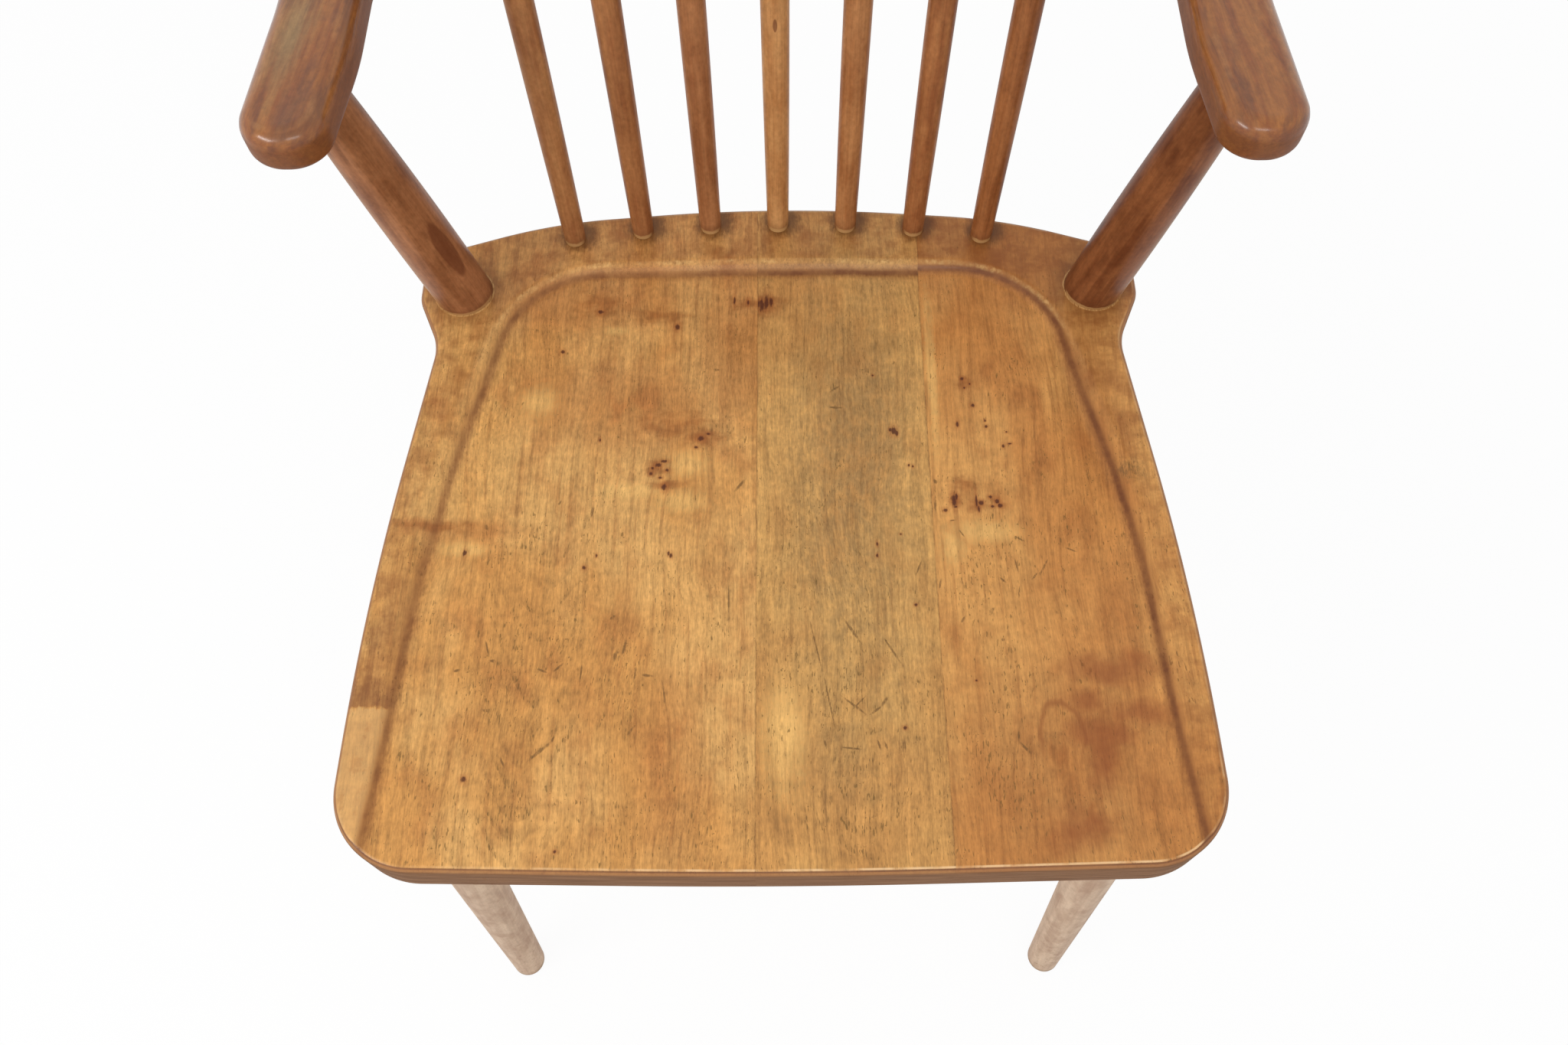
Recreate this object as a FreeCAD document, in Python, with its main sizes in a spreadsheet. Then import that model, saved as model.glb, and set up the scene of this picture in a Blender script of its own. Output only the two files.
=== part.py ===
"""Low-back captain's chair: a saddled seat of three boards on four turned
legs, with an arm bow and a crest rail carried by two posts and seven spindles.

Millimetres. +Z is up, the sitter faces -Y, and the origin is on the floor
under the middle of the chair's overall box. A setback is a distance behind
the front edge of the seat, an inset is a distance before its rear edge, and
a margin is a distance inside its side, taken where the seat is widest.
"""
import FreeCAD, Part
import Sketcher
import math
import os

Vector = FreeCAD.Vector
UP = Vector(0, 0, 1)

doc = FreeCAD.newDocument("captains_chair")

# The driving sizes: millimetres, degrees, counts and plain ratios.
# The place of an outline's corner is where its straight runs would meet.
SIZES = {
    # Seat blank
    "seat_height": 450,
    "seat_thickness": 36,
    "seat_depth": 447.4,
    "seat_width": 491,
    "seat_bend_margin": 3,
    "seat_bend_setback": 160,
    "seat_bend_reach": 93.5,
    "seat_waist_margin": 25,
    "seat_waist_inset": 108.7,
    "seat_ear_margin": 9.7,
    "seat_ear_inset": 73.4,
    "seat_shoulder_margin": 94,
    "seat_front_slope": 0.018,
    "seat_rear_slope": 0.085,
    "seat_shoulder_slope": 0.33,
    "seat_front_radius": 5000,
    "seat_front_corner_radius": 47,
    "seat_waist_radius": 38,
    "seat_ear_radius": 24,
    "seat_rear_corner_radius": 34,
    "seat_shoulder_radius": 330,
    "seat_rear_radius": 970,
    "seat_top_rounding": 4,
    "seat_bottom_rounding": 4,
    "seat_middle_board_width": 106.7,
    "seat_middle_board_offset": 39.65,
    # Saddle, the hollow inside the raised rim
    "rim_front_margin": 12.9,
    "rim_bend_margin": 21.6,
    "rim_bend_inset": 250.4,
    "rim_corner_margin": 76,
    "rim_rear_margin": 43.5,
    "rim_rear_slope": 0.03,
    "rim_side_radius": 1100,
    "rim_corner_radius": 80,
    "rim_rear_radius": 2000,
    "rim_slope_width": 9,
    "rim_slope_height": 5,
    "saddle_depth": 8.5,
    "saddle_radius": 6500,
    "saddle_centre_inset": 212,
    # Legs
    "front_leg_margin": 43.7,
    "front_leg_setback": 52.2,
    "front_leg_splay": 15,
    "front_leg_rake": 30.4,
    "rear_leg_margin": 79.5,
    "rear_leg_inset": 60,
    "rear_leg_splay": 27,
    "rear_leg_rake": 66,
    "leg_foot_diameter": 25.6,
    "leg_middle_diameter": 32.2,
    "leg_middle_height": 250,
    "leg_top_diameter": 36,
    "leg_tenon_diameter": 24,
    "leg_tenon_length": 24,
    # Arm posts
    "post_margin": 39,
    "post_inset": 68.4,
    "post_lean_out": 33.5,
    "post_lean_forward": 13.5,
    "post_foot_diameter": 36.5,
    "post_middle_diameter": 34.6,
    "post_middle_height": 100,
    "post_top_diameter": 28.3,
    "post_tenon_diameter": 20,
    "post_seat_tenon_length": 24,
    "post_arm_tenon_length": 16,
    # Back spindles
    "spindle_count": 7,
    "spindle_spacing": 45.5,
    "spindle_inset": 13.4,
    "spindle_row_radius": 880,
    "spindle_fan": 1.117,
    "spindle_lean_back": 59.9,
    "spindle_foot_diameter": 14.2,
    "spindle_middle_diameter": 17.2,
    "spindle_middle_height": 130,
    "spindle_top_diameter": 18,
    "spindle_tenon_diameter": 12,
    "spindle_seat_tenon_length": 20,
    "spindle_bow_tenon_length": 14,
    # Arm bow
    "arm_height": 671,
    "bow_thickness": 25,
    "bow_width": 44,
    "bow_slope": 0.1,
    "bow_outer_corner_radius": 84,
    "bow_inner_corner_radius": 40,
    "bow_rear_radius": 1125,
    "arm_side_overhang": 18.5,
    "paddle_overhang": 60,
    "paddle_outer_length": 94.5,
    "paddle_inner_length": 69.5,
    "paddle_flare": 7.5,
    "paddle_neck_radius": 250,
    "paddle_tip_flat": 2,
    "bow_top_rounding": 7,
    "bow_bottom_rounding": 5,
    "bow_dowel_diameter": 8,
    "bow_dowel_length": 30,
    "bow_dowel_spacing": 20,
    # Crest rail
    "crest_length": 350,
    "crest_height": 66,
    "crest_thickness": 23,
    "crest_setback": 3,
    "crest_lean": 13,
    "crest_end_height": 9,
    "crest_hollow_height": 15,
    "crest_hollow_inset": 25,
    "crest_shoulder_inset": 67,
    "crest_crown_rise": 5,
    "crest_plan_rounding": 8,
    "crest_hollow_radius": 45,
    "crest_shoulder_radius": 55,
    "crest_dowel_count": 4,
    "crest_dowel_diameter": 8,
    "crest_dowel_in_bow": 12,
    "crest_dowel_in_crest": 18,
    # Fits: the glue film round a tenon, the room under its end, and how far
    # a tool runs past the wood that it cuts
    "glue_film": 0.1,
    "socket_room": 1,
    "tool_run": 20,
}

sheet = doc.addObject("Spreadsheet::Sheet", "Sizes")
for row, (alias, value) in enumerate(SIZES.items(), start=1):
    sheet.set(f"A{row}", alias)
    sheet.set(f"B{row}", str(value))
    sheet.setAlias(f"B{row}", alias)
doc.recompute()


def size(alias):
    """One driving size, read from the sheet."""
    return float(sheet.get(alias))


def bind(obj, **expressions):
    """Bind properties of an object to expressions on the sheet's aliases."""
    for name, text in expressions.items():
        obj.setExpression(name, text)
    return obj


def add(kind, label, **properties):
    """A new object with its label and plain properties."""
    obj = doc.addObject(kind, label)
    obj.Label = label
    for name, value in properties.items():
        setattr(obj, name, value)
    return obj


# Levels and lines that several pieces share
SEAT_TOP = size("seat_height")
SEAT_BOTTOM = SEAT_TOP - size("seat_thickness")
BOW_TOP = size("arm_height")
BOW_BOTTOM = BOW_TOP - size("bow_thickness")
SEAT_REAR = size("seat_depth")
SEAT_SIDE = size("seat_width") / 2
BOW_LINE = SEAT_REAR - size("spindle_inset") + size("spindle_lean_back")
CREST_REAR = BOW_LINE + size("crest_setback") + size("crest_thickness") / 2
CREST_TOP_SHIFT = size("crest_height") * math.tan(math.radians(size("crest_lean")))
FRONT_EDGE = -(CREST_REAR + CREST_TOP_SHIFT) / 2
POST_TOP_X = SEAT_SIDE - size("post_margin") + size("post_lean_out")
POST_TOP_SETBACK = SEAT_REAR - size("post_inset") - size("post_lean_forward")


def place(x, setback, z):
    """The point x to the side, a setback behind the seat's front edge."""
    return Vector(x, FRONT_EDGE + setback, z)


def crown(radius, slope):
    """How far a corner of two runs of this slope stands outside its arc."""
    return radius * (math.sqrt(1 + slope * slope) - 1)


def bend_radius(before, corner, after, reach):
    """The radius of the arc that leaves both runs of a corner at a distance
    from it."""
    return reach * math.tan((before - corner).getAngle(after - corner) / 2)


# Outlines


def rounded_outline(corners):
    """A closed wire through corners (point, radius), each rounded by an arc
    that touches both of its straight runs. A radius of 0 keeps it sharp."""
    arcs = []
    for index, (point, radius) in enumerate(corners):
        before = (corners[index - 1][0] - point).normalize()
        after = (corners[(index + 1) % len(corners)][0] - point).normalize()
        half = before.getAngle(after) / 2
        if radius == 0:
            arcs.append((point, point, point))
            continue
        reach = radius / math.tan(half)
        middle = (before + after).normalize() * (radius / math.sin(half) - radius)
        arcs.append((point + before * reach, point + middle, point + after * reach))
    edges = []
    for index, (start, middle, end) in enumerate(arcs):
        if start != end:
            edges.append(Part.Arc(start, middle, end).toShape())
        edges.append(Part.LineSegment(end, arcs[(index + 1) % len(arcs)][0]).toShape())
    return Part.Wire(edges)


def mirrored(half):
    """Corners of a whole outline: its right half, then the mirror image of
    the corners that lie off the middle line, in reverse."""
    left = [(Vector(-point.x, point.y, point.z), radius)
            for point, radius in half if point.x > 0]
    return half + left[::-1]


def seat_outline(z):
    """The seat seen from above: bowed front, tapering sides, a waist, and
    rounded ears under the arm posts."""
    front = -crown(size("seat_front_radius"), size("seat_front_slope"))
    rear = SEAT_REAR + crown(size("seat_rear_radius"), size("seat_rear_slope"))
    shoulder_x = SEAT_SIDE - size("seat_shoulder_margin")
    ear_x = SEAT_SIDE - size("seat_ear_margin")
    shoulder = rear - size("seat_rear_slope") * shoulder_x
    ear_rear = shoulder - size("seat_shoulder_slope") * (ear_x - shoulder_x)
    corner = place(SEAT_SIDE, front + size("seat_front_slope") * SEAT_SIDE, z)
    bend = place(SEAT_SIDE - size("seat_bend_margin"), size("seat_bend_setback"), z)
    waist = place(SEAT_SIDE - size("seat_waist_margin"), SEAT_REAR - size("seat_waist_inset"), z)
    half = [
        (place(0, front, z), size("seat_front_radius")),
        (corner, size("seat_front_corner_radius")),
        (bend, bend_radius(corner, bend, waist, size("seat_bend_reach"))),
        (waist, size("seat_waist_radius")),
        (place(ear_x, SEAT_REAR - size("seat_ear_inset"), z), size("seat_ear_radius")),
        (place(ear_x, ear_rear, z), size("seat_rear_corner_radius")),
        (place(shoulder_x, shoulder, z), size("seat_shoulder_radius")),
        (place(0, rear, z), size("seat_rear_radius")),
    ]
    return rounded_outline(mirrored(half))


def rim_outline(z):
    """The crest of the raised rim. It runs out past the seat's front edge."""
    rear = SEAT_REAR - size("rim_rear_margin")
    rear += crown(size("rim_rear_radius"), size("rim_rear_slope"))
    corner_x = SEAT_SIDE - size("rim_corner_margin")
    half = [
        (place(SEAT_SIDE - size("rim_front_margin"), -size("tool_run"), z), 0),
        (place(SEAT_SIDE - size("rim_bend_margin"), SEAT_REAR - size("rim_bend_inset"), z),
         size("rim_side_radius")),
        (place(corner_x, rear - size("rim_rear_slope") * corner_x, z),
         size("rim_corner_radius")),
        (place(0, rear, z), size("rim_rear_radius")),
    ]
    return rounded_outline(mirrored(half))


def bow_outline(z):
    """The arm bow seen from above, from the rear round both arms to the
    paddle tips and back along the inside."""
    bulge = size("bow_rear_radius")
    slope = size("bow_slope")
    reach = size("bow_width") / 2
    outer_rear = BOW_LINE + reach + crown(bulge + reach, slope)
    inner_rear = BOW_LINE - reach + crown(bulge - reach, slope)
    outer_x = POST_TOP_X + size("arm_side_overhang")
    inner_x = outer_x - size("bow_width")
    flare = size("paddle_flare")
    tip = POST_TOP_SETBACK - size("paddle_overhang")
    tip_radius = reach - size("paddle_tip_flat") / 2
    half = [
        (place(0, outer_rear, z), bulge + reach),
        (place(outer_x, outer_rear - slope * outer_x, z), size("bow_outer_corner_radius")),
        (place(outer_x, tip + size("paddle_outer_length"), z), size("paddle_neck_radius")),
        (place(outer_x + flare, tip, z), tip_radius),
        (place(inner_x + flare, tip, z), tip_radius),
        (place(inner_x, tip + size("paddle_inner_length"), z), size("paddle_neck_radius")),
        (place(inner_x, inner_rear - slope * inner_x, z), size("bow_inner_corner_radius")),
        (place(0, inner_rear, z), bulge - reach),
    ]
    return rounded_outline(mirrored(half))


def bow_line_setback(x):
    """Setback of the middle line of the bow's rear, on a circle."""
    bulge = size("bow_rear_radius")
    return BOW_LINE - (bulge - math.sqrt(bulge * bulge - x * x))


def crest_plan(z):
    """The crest rail's foot on the bow: a bowed strip with rounded ends."""
    slope = size("bow_slope")
    end_x = size("crest_length") / 2
    middle = BOW_LINE + size("crest_setback")
    half = []
    for side in (1, -1):
        reach = side * size("crest_thickness") / 2
        radius = size("bow_rear_radius") + reach
        line = middle + reach + crown(radius, slope)
        pair = [(place(0, line, z), radius),
                (place(end_x, line - slope * end_x, z), size("crest_plan_rounding"))]
        half += pair[::side]
    return rounded_outline(mirrored(half))


def crest_front():
    """The crest rail seen from the front, in the plane of the seat's front
    edge: thin ends, a hollow sweep up to full shoulders, and a slow crown."""
    end_x = size("crest_length") / 2
    hollow_x = end_x - size("crest_hollow_inset")
    shoulder_x = end_x - size("crest_shoulder_inset")
    hollow = size("crest_hollow_height")
    shoulder = size("crest_height") - size("crest_crown_rise")
    end_slope = (hollow - size("crest_end_height")) / size("crest_hollow_inset")
    past_end = size("crest_end_height") - end_slope * size("tool_run")
    crown_radius = shoulder_x * shoulder_x / (2 * size("crest_crown_rise"))
    half = [
        (place(end_x + size("tool_run"), 0, BOW_TOP), 0),
        (place(end_x + size("tool_run"), 0, BOW_TOP + past_end), 0),
        (place(hollow_x, 0, BOW_TOP + hollow), size("crest_hollow_radius")),
        (place(shoulder_x, 0, BOW_TOP + shoulder), size("crest_shoulder_radius")),
        (place(0, 0, BOW_TOP + size("crest_height")), crown_radius),
    ]
    return rounded_outline(mirrored(half))


# Wood working helpers


def outline_piece(label, wire, direction=UP, **length):
    """A solid made by running a flat outline along a direction."""
    outline = add("Part::Feature", label + "_outline", Shape=Part.Face(wire))
    piece = add("Part::Extrusion", label, Base=outline, DirMode="Custom", Dir=direction,
                Solid=True)
    bind(piece, LengthFwd=length["length"])
    doc.recompute()
    return piece


def rounded_edges(label, base, levels):
    """Round every edge that lies flat at one of the levels {z: radius}."""
    edges = []
    for index, edge in enumerate(base.Shape.Edges, start=1):
        box = edge.BoundBox
        for level, radius in levels.items():
            if box.ZLength < 1e-4 and abs(box.ZMin - level) < 1e-4:
                edges.append((index, radius, radius))
    return add("Part::Fillet", label, Base=base, Edges=edges)


def box_between(label, low, high):
    """A box from its lowest to its highest corner."""
    return add("Part::Box", label, Placement=FreeCAD.Placement(low, FreeCAD.Rotation()),
               Length=high.x - low.x, Width=high.y - low.y, Height=high.z - low.z)


def group(label, pieces):
    """Several tools as one."""
    return add("Part::MultiFuse", label, Shapes=pieces)


# Well past the chair on every side
SPAN = 4 * POST_TOP_X


def level_box(label, low_z, high_z, low_x=-SPAN, high_x=SPAN):
    """Everything between two levels, and between two sides where given."""
    return box_between(label, Vector(low_x, -SPAN, low_z), Vector(high_x, SPAN, high_z))


def on_axis(point, direction):
    """A placement at a point, with its own Z along a direction."""
    return FreeCAD.Placement(point, FreeCAD.Rotation(UP, direction))


# Sockets to be drilled in the seat, the bow and the crest rail
sockets = {"seat": [], "bow": [], "crest": []}


def round_tenon(label, mouth, inward, diameter, length, wood):
    """A round tenon that runs inward from the mouth of its socket, and the
    socket, which is wider by the glue film and deeper by some room. Both
    start a tool's run outside the mouth."""
    inward = Vector(inward).normalize()
    start = on_axis(mouth - inward * size("tool_run"), inward)
    tenon = add("Part::Cylinder", label + "_tenon", Placement=start)
    bind(tenon, Radius=f"Sizes.{diameter} / 2", Height=f"Sizes.{length} + Sizes.tool_run")
    socket = add("Part::Cylinder", label + "_socket", Placement=start)
    bind(socket, Radius=f"Sizes.{diameter} / 2 + Sizes.glue_film",
         Height=f"Sizes.{length} + Sizes.tool_run + Sizes.socket_room")
    sockets[wood].append(socket)
    return tenon


# Turned pieces

SEAM_ANGLE = 40


def origin_plane(body, role):
    """One of a body's own origin planes."""
    return next(feature for feature in body.Origin.OriginFeatures if feature.Role == role)


def turned_blank(label, kind, foot, top):
    """A turned blank on the line from its foot to its top. Its side is one
    arc through the foot, middle and top diameters, and it runs on straight
    past both ends, where it is trimmed later."""
    length = (top - foot).Length
    run = size("tool_run")
    foot_radius = size(kind + "_foot_diameter") / 2
    middle_radius = size(kind + "_middle_diameter") / 2
    middle_height = size(kind + "_middle_height")
    top_radius = size(kind + "_top_diameter") / 2

    # Turned on its axis, so that its seam lies off the chair's middle plane
    spin = FreeCAD.Placement(Vector(), FreeCAD.Rotation(UP, SEAM_ANGLE))
    body = add("PartDesign::Body", label + "_blank",
               Placement=on_axis(foot, top - foot) * spin)
    sketch = body.newObject("Sketcher::SketchObject", label + "_profile")
    sketch.AttachmentSupport = (origin_plane(body, "XZ_Plane"), [""])
    sketch.MapMode = "FlatFace"
    corners = [(0, -run), (foot_radius, -run), (foot_radius, 0),
               (top_radius, length), (top_radius, length + run), (0, length + run)]
    corners = [Vector(x, y, 0) for x, y in corners]
    belly = Vector(middle_radius, middle_height, 0)
    floor, foot_side, side, top_side, lid, axis, mark = range(7)
    sketch.addGeometry([
        Part.LineSegment(corners[0], corners[1]),
        Part.LineSegment(corners[1], corners[2]),
        Part.Arc(corners[2], belly, corners[3]),
        Part.LineSegment(corners[3], corners[4]),
        Part.LineSegment(corners[4], corners[5]),
        Part.LineSegment(corners[5], corners[0]),
        Part.Point(belly),
    ])
    sketch.toggleConstruction(mark)
    # A sketch stores an arc anticlockwise, so a hollow side starts at its top
    straight = foot_radius + (top_radius - foot_radius) * middle_height / length
    side_foot, side_top = (1, 2) if middle_radius > straight else (2, 1)
    rule = Sketcher.Constraint
    sketch.addConstraint([
        rule("Coincident", floor, 2, foot_side, 1),
        rule("Coincident", foot_side, 2, side, side_foot),
        rule("Coincident", side, side_top, top_side, 1),
        rule("Coincident", top_side, 2, lid, 1),
        rule("Coincident", lid, 2, axis, 1),
        rule("Coincident", axis, 2, floor, 1),
        rule("PointOnObject", axis, 1, -2),
        rule("PointOnObject", foot_side, 2, -1),
        rule("PointOnObject", mark, 1, side),
        rule("Vertical", axis),
        rule("Vertical", foot_side),
        rule("Vertical", top_side),
        rule("Horizontal", floor),
        rule("Horizontal", lid),
    ])
    sizes = [
        ("DistanceX", foot_side, 2, foot_radius, f"Sizes.{kind}_foot_diameter / 2"),
        ("DistanceX", mark, 1, middle_radius, f"Sizes.{kind}_middle_diameter / 2"),
        ("DistanceY", mark, 1, middle_height, f"Sizes.{kind}_middle_height"),
        ("DistanceX", top_side, 1, top_radius, f"Sizes.{kind}_top_diameter / 2"),
        ("DistanceY", top_side, 1, length, None),
        ("DistanceY", top_side, 2, length + run, None),
        ("DistanceY", foot_side, 1, -run, "-Sizes.tool_run"),
    ]
    for direction, edge, end, value, expression in sizes:
        index = sketch.addConstraint(rule(direction, -1, 1, edge, end, value))
        if expression:
            sketch.setExpression(f"Constraints[{index}]", expression)
    turning = body.newObject("PartDesign::Revolution", label + "_turning")
    turning.Profile = sketch
    turning.ReferenceAxis = (sketch, ["V_Axis"])
    turning.Angle = 360
    return body


def turned_piece(label, kind, foot, top, space, tenons):
    """A turned piece, trimmed to the level space between the woods that it
    joins, with its tenons (end, diameter, length, wood) run into them."""
    blank = turned_blank(label, kind, foot, top)
    trimmed = add("Part::Common", label + "_trimmed", Base=blank, Tool=space)
    parts = [trimmed]
    for end, diameter, length, wood in tenons:
        mouth, inward = (foot, foot - top) if end == "foot" else (top, top - foot)
        parts.append(round_tenon(f"{label}_{end}", mouth, inward, diameter, length, wood))
    return group(label, parts)


def dowel(label, start, direction, diameter, length, woods):
    """A plain dowel between two woods, and its hole with room at both ends."""
    direction = Vector(direction).normalize()
    room = size("socket_room")
    peg = add("Part::Cylinder", label, Placement=on_axis(start, direction))
    bind(peg, Radius=f"Sizes.{diameter} / 2", Height=length)
    hole = add("Part::Cylinder", label + "_hole",
               Placement=on_axis(start - direction * room, direction))
    bind(hole, Radius=f"Sizes.{diameter} / 2 + Sizes.glue_film",
         Height=f"{length} + 2 * Sizes.socket_room")
    for wood in woods:
        sockets[wood].append(hole)
    return peg


SIDES = {"left": -1, "right": 1}
nodes = []

# Legs: turned, with blind tenons in the underside of the seat. The feet are
# cut level with the floor.

leg_space = level_box("leg_space", 0, SEAT_BOTTOM)
leg_tops = {"front": size("front_leg_setback"), "rear": SEAT_REAR - size("rear_leg_inset")}
leg_rakes = {"front": -size("front_leg_rake"), "rear": size("rear_leg_rake")}
for end, top_setback in leg_tops.items():
    top_x = SEAT_SIDE - size(f"{end}_leg_margin")
    foot_x = top_x + size(f"{end}_leg_splay")
    foot_setback = top_setback + leg_rakes[end]
    for side, sign in SIDES.items():
        nodes.append(turned_piece(
            f"leg_{end}_{side}", "leg",
            place(sign * foot_x, foot_setback, 0),
            place(sign * top_x, top_setback, SEAT_BOTTOM), leg_space,
            [("top", "leg_tenon_diameter", "leg_tenon_length", "seat")]))

# Arm posts: turned, leaning outward and forward from the ears of the seat

back_space = level_box("back_space", SEAT_TOP, BOW_BOTTOM)
post_foot_x = SEAT_SIDE - size("post_margin")
post_foot_setback = SEAT_REAR - size("post_inset")
for side, sign in SIDES.items():
    nodes.append(turned_piece(
        f"arm_post_{side}", "post",
        place(sign * post_foot_x, post_foot_setback, SEAT_TOP),
        place(sign * POST_TOP_X, POST_TOP_SETBACK, BOW_BOTTOM), back_space,
        [("foot", "post_tenon_diameter", "post_seat_tenon_length", "seat"),
         ("top", "post_tenon_diameter", "post_arm_tenon_length", "bow")]))

# Back spindles: one row on a shallow curve, leaning back and fanning out

spindle_count = int(size("spindle_count"))
top_pitch = size("spindle_spacing") * size("spindle_fan")
row_radius = size("spindle_row_radius")
for index in range(spindle_count):
    foot_x = (index - (spindle_count - 1) / 2) * size("spindle_spacing")
    setback = SEAT_REAR - size("spindle_inset")
    setback -= row_radius - math.sqrt(row_radius * row_radius - foot_x * foot_x)
    top_x = foot_x * size("spindle_fan")
    nodes.append(turned_piece(
        f"spindle_{index + 1}", "spindle",
        place(foot_x, setback, SEAT_TOP),
        place(top_x, bow_line_setback(top_x), BOW_BOTTOM), back_space,
        [("foot", "spindle_tenon_diameter", "spindle_seat_tenon_length", "seat"),
         ("top", "spindle_tenon_diameter", "spindle_bow_tenon_length", "bow")]))

# Dowels across the two joints of the bow, each joint midway between the two
# outermost spindles of its side

joint_x = (spindle_count / 2 - 1) * top_pitch
dowel_z = (BOW_TOP + BOW_BOTTOM) / 2
for side, sign in SIDES.items():
    for row, offset in (("front", -0.5), ("rear", 0.5)):
        setback = bow_line_setback(joint_x) + offset * size("bow_dowel_spacing")
        start_x = sign * joint_x - size("bow_dowel_length") / 2
        nodes.append(dowel(
            f"bow_dowel_{side}_{row}", place(start_x, setback, dowel_z), Vector(1, 0, 0),
            "bow_dowel_diameter", "Sizes.bow_dowel_length", ["bow"]))

# Dowels that stand in the bow between the spindles and carry the crest rail

crest_dowel_count = int(size("crest_dowel_count"))
for index in range(crest_dowel_count):
    x = (index - (crest_dowel_count - 1) / 2) * top_pitch
    start = place(x, bow_line_setback(x) + size("crest_setback"),
                  BOW_TOP - size("crest_dowel_in_bow"))
    nodes.append(dowel(
        f"crest_dowel_{index + 1}", start, UP, "crest_dowel_diameter",
        "(Sizes.crest_dowel_in_bow + Sizes.crest_dowel_in_crest)", ["bow", "crest"]))

# Seat: one blank glued up from three boards, rounded, hollowed and drilled

seat_slab = outline_piece("seat_slab", seat_outline(SEAT_BOTTOM), length="Sizes.seat_thickness")
seat_blank = rounded_edges("seat_blank", seat_slab, {
    SEAT_TOP: size("seat_top_rounding"),
    SEAT_BOTTOM: size("seat_bottom_rounding"),
})

slope = size("rim_slope_width") / size("rim_slope_height")
run = size("tool_run") / 2
saddle_wall = add("Part::Feature", "saddle_wall", Shape=Part.makeLoft([
    rim_outline(SEAT_TOP - run).makeOffset2D(-slope * run, 2),
    rim_outline(SEAT_TOP + run).makeOffset2D(slope * run, 2),
], True, True))
bowl_centre = place(0, SEAT_REAR - size("saddle_centre_inset"),
                    SEAT_TOP - size("saddle_depth") + size("saddle_radius"))
saddle_bowl = add("Part::Sphere", "saddle_bowl",
                  Placement=FreeCAD.Placement(bowl_centre, FreeCAD.Rotation()))
bind(saddle_bowl, Radius="Sizes.saddle_radius")
saddle = add("Part::Common", "saddle", Base=saddle_wall, Tool=saddle_bowl)
seat_saddled = add("Part::Cut", "seat_saddled", Base=seat_blank, Tool=saddle)
seat_drilled = add("Part::Cut", "seat_drilled", Base=seat_saddled,
                   Tool=group("seat_sockets", sockets["seat"]))
left_seam = size("seat_middle_board_offset") - size("seat_middle_board_width") / 2
right_seam = left_seam + size("seat_middle_board_width")
for name, low_x, high_x in (("left", -SPAN, left_seam), ("middle", left_seam, right_seam),
                            ("right", right_seam, SPAN)):
    strip = level_box(f"seat_strip_{name}", 0, SEAT_TOP + SPAN, low_x, high_x)
    nodes.append(add("Part::Common", f"seat_board_{name}", Base=seat_drilled, Tool=strip))

# Arm bow: sawn to one outline, rounded, drilled, and jointed in three pieces

bow_slab = outline_piece("bow_slab", bow_outline(BOW_BOTTOM), length="Sizes.bow_thickness")
bow_blank = rounded_edges("bow_blank", bow_slab, {
    BOW_TOP: size("bow_top_rounding"),
    BOW_BOTTOM: size("bow_bottom_rounding"),
})
bow_drilled = add("Part::Cut", "bow_drilled", Base=bow_blank,
                  Tool=group("bow_sockets", sockets["bow"]))
for name, low_x, high_x in (("arm_left", -SPAN, -joint_x), ("bow_back", -joint_x, joint_x),
                            ("arm_right", joint_x, SPAN)):
    strip = level_box(f"{name}_strip", 0, BOW_TOP + SPAN, low_x, high_x)
    nodes.append(add("Part::Common", name, Base=bow_drilled, Tool=strip))

# Crest rail: a leaning bowed strip, cut to its front view and drilled

lean = math.radians(size("crest_lean"))
crest_strip = outline_piece("crest_strip", crest_plan(BOW_TOP),
                            Vector(0, math.sin(lean), math.cos(lean)),
                            length="(Sizes.crest_height + Sizes.tool_run) / cos(Sizes.crest_lean)")
crest_view = outline_piece("crest_view", crest_front(), Vector(0, 1, 0),
                           length="2 * Sizes.seat_depth")
crest_blank = add("Part::Common", "crest_blank", Base=crest_strip, Tool=crest_view)
nodes.append(add("Part::Cut", "crest_rail", Base=crest_blank,
                 Tool=group("crest_sockets", sockets["crest"])))

doc.recompute()

# Every object has to be sound before anything is written

faults = [obj.Label for obj in doc.Objects if {"Invalid", "Error"} & set(obj.State)]
for node in nodes:
    if node.Shape.isNull() or not node.Shape.isValid() or len(node.Shape.Solids) != 1:
        faults.append(node.Label)
if faults:
    raise RuntimeError("faulty objects: " + ", ".join(faults))

os.makedirs("parts", exist_ok=True)
for node in nodes:
    node.Shape.exportStep(f"parts/{node.Label}.step")

overall = Part.makeCompound([node.Shape for node in nodes]).optimalBoundingBox(False)
print("pieces", len(nodes))
print("box", [round(value, 1) for value in (overall.XMin, overall.YMin, overall.ZMin,
                                            overall.XMax, overall.YMax, overall.ZMax)])
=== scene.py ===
"""The captain's chair in worn, lacquered birch, in the order it is put together.

Shapes are worked out in millimetres and go into the meshes in metres. A
setback is a distance behind the front edge of the seat. A run is a row of
points on an outline, each with its outward normal: x, setback, nx, ny.
"""
import math

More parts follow.
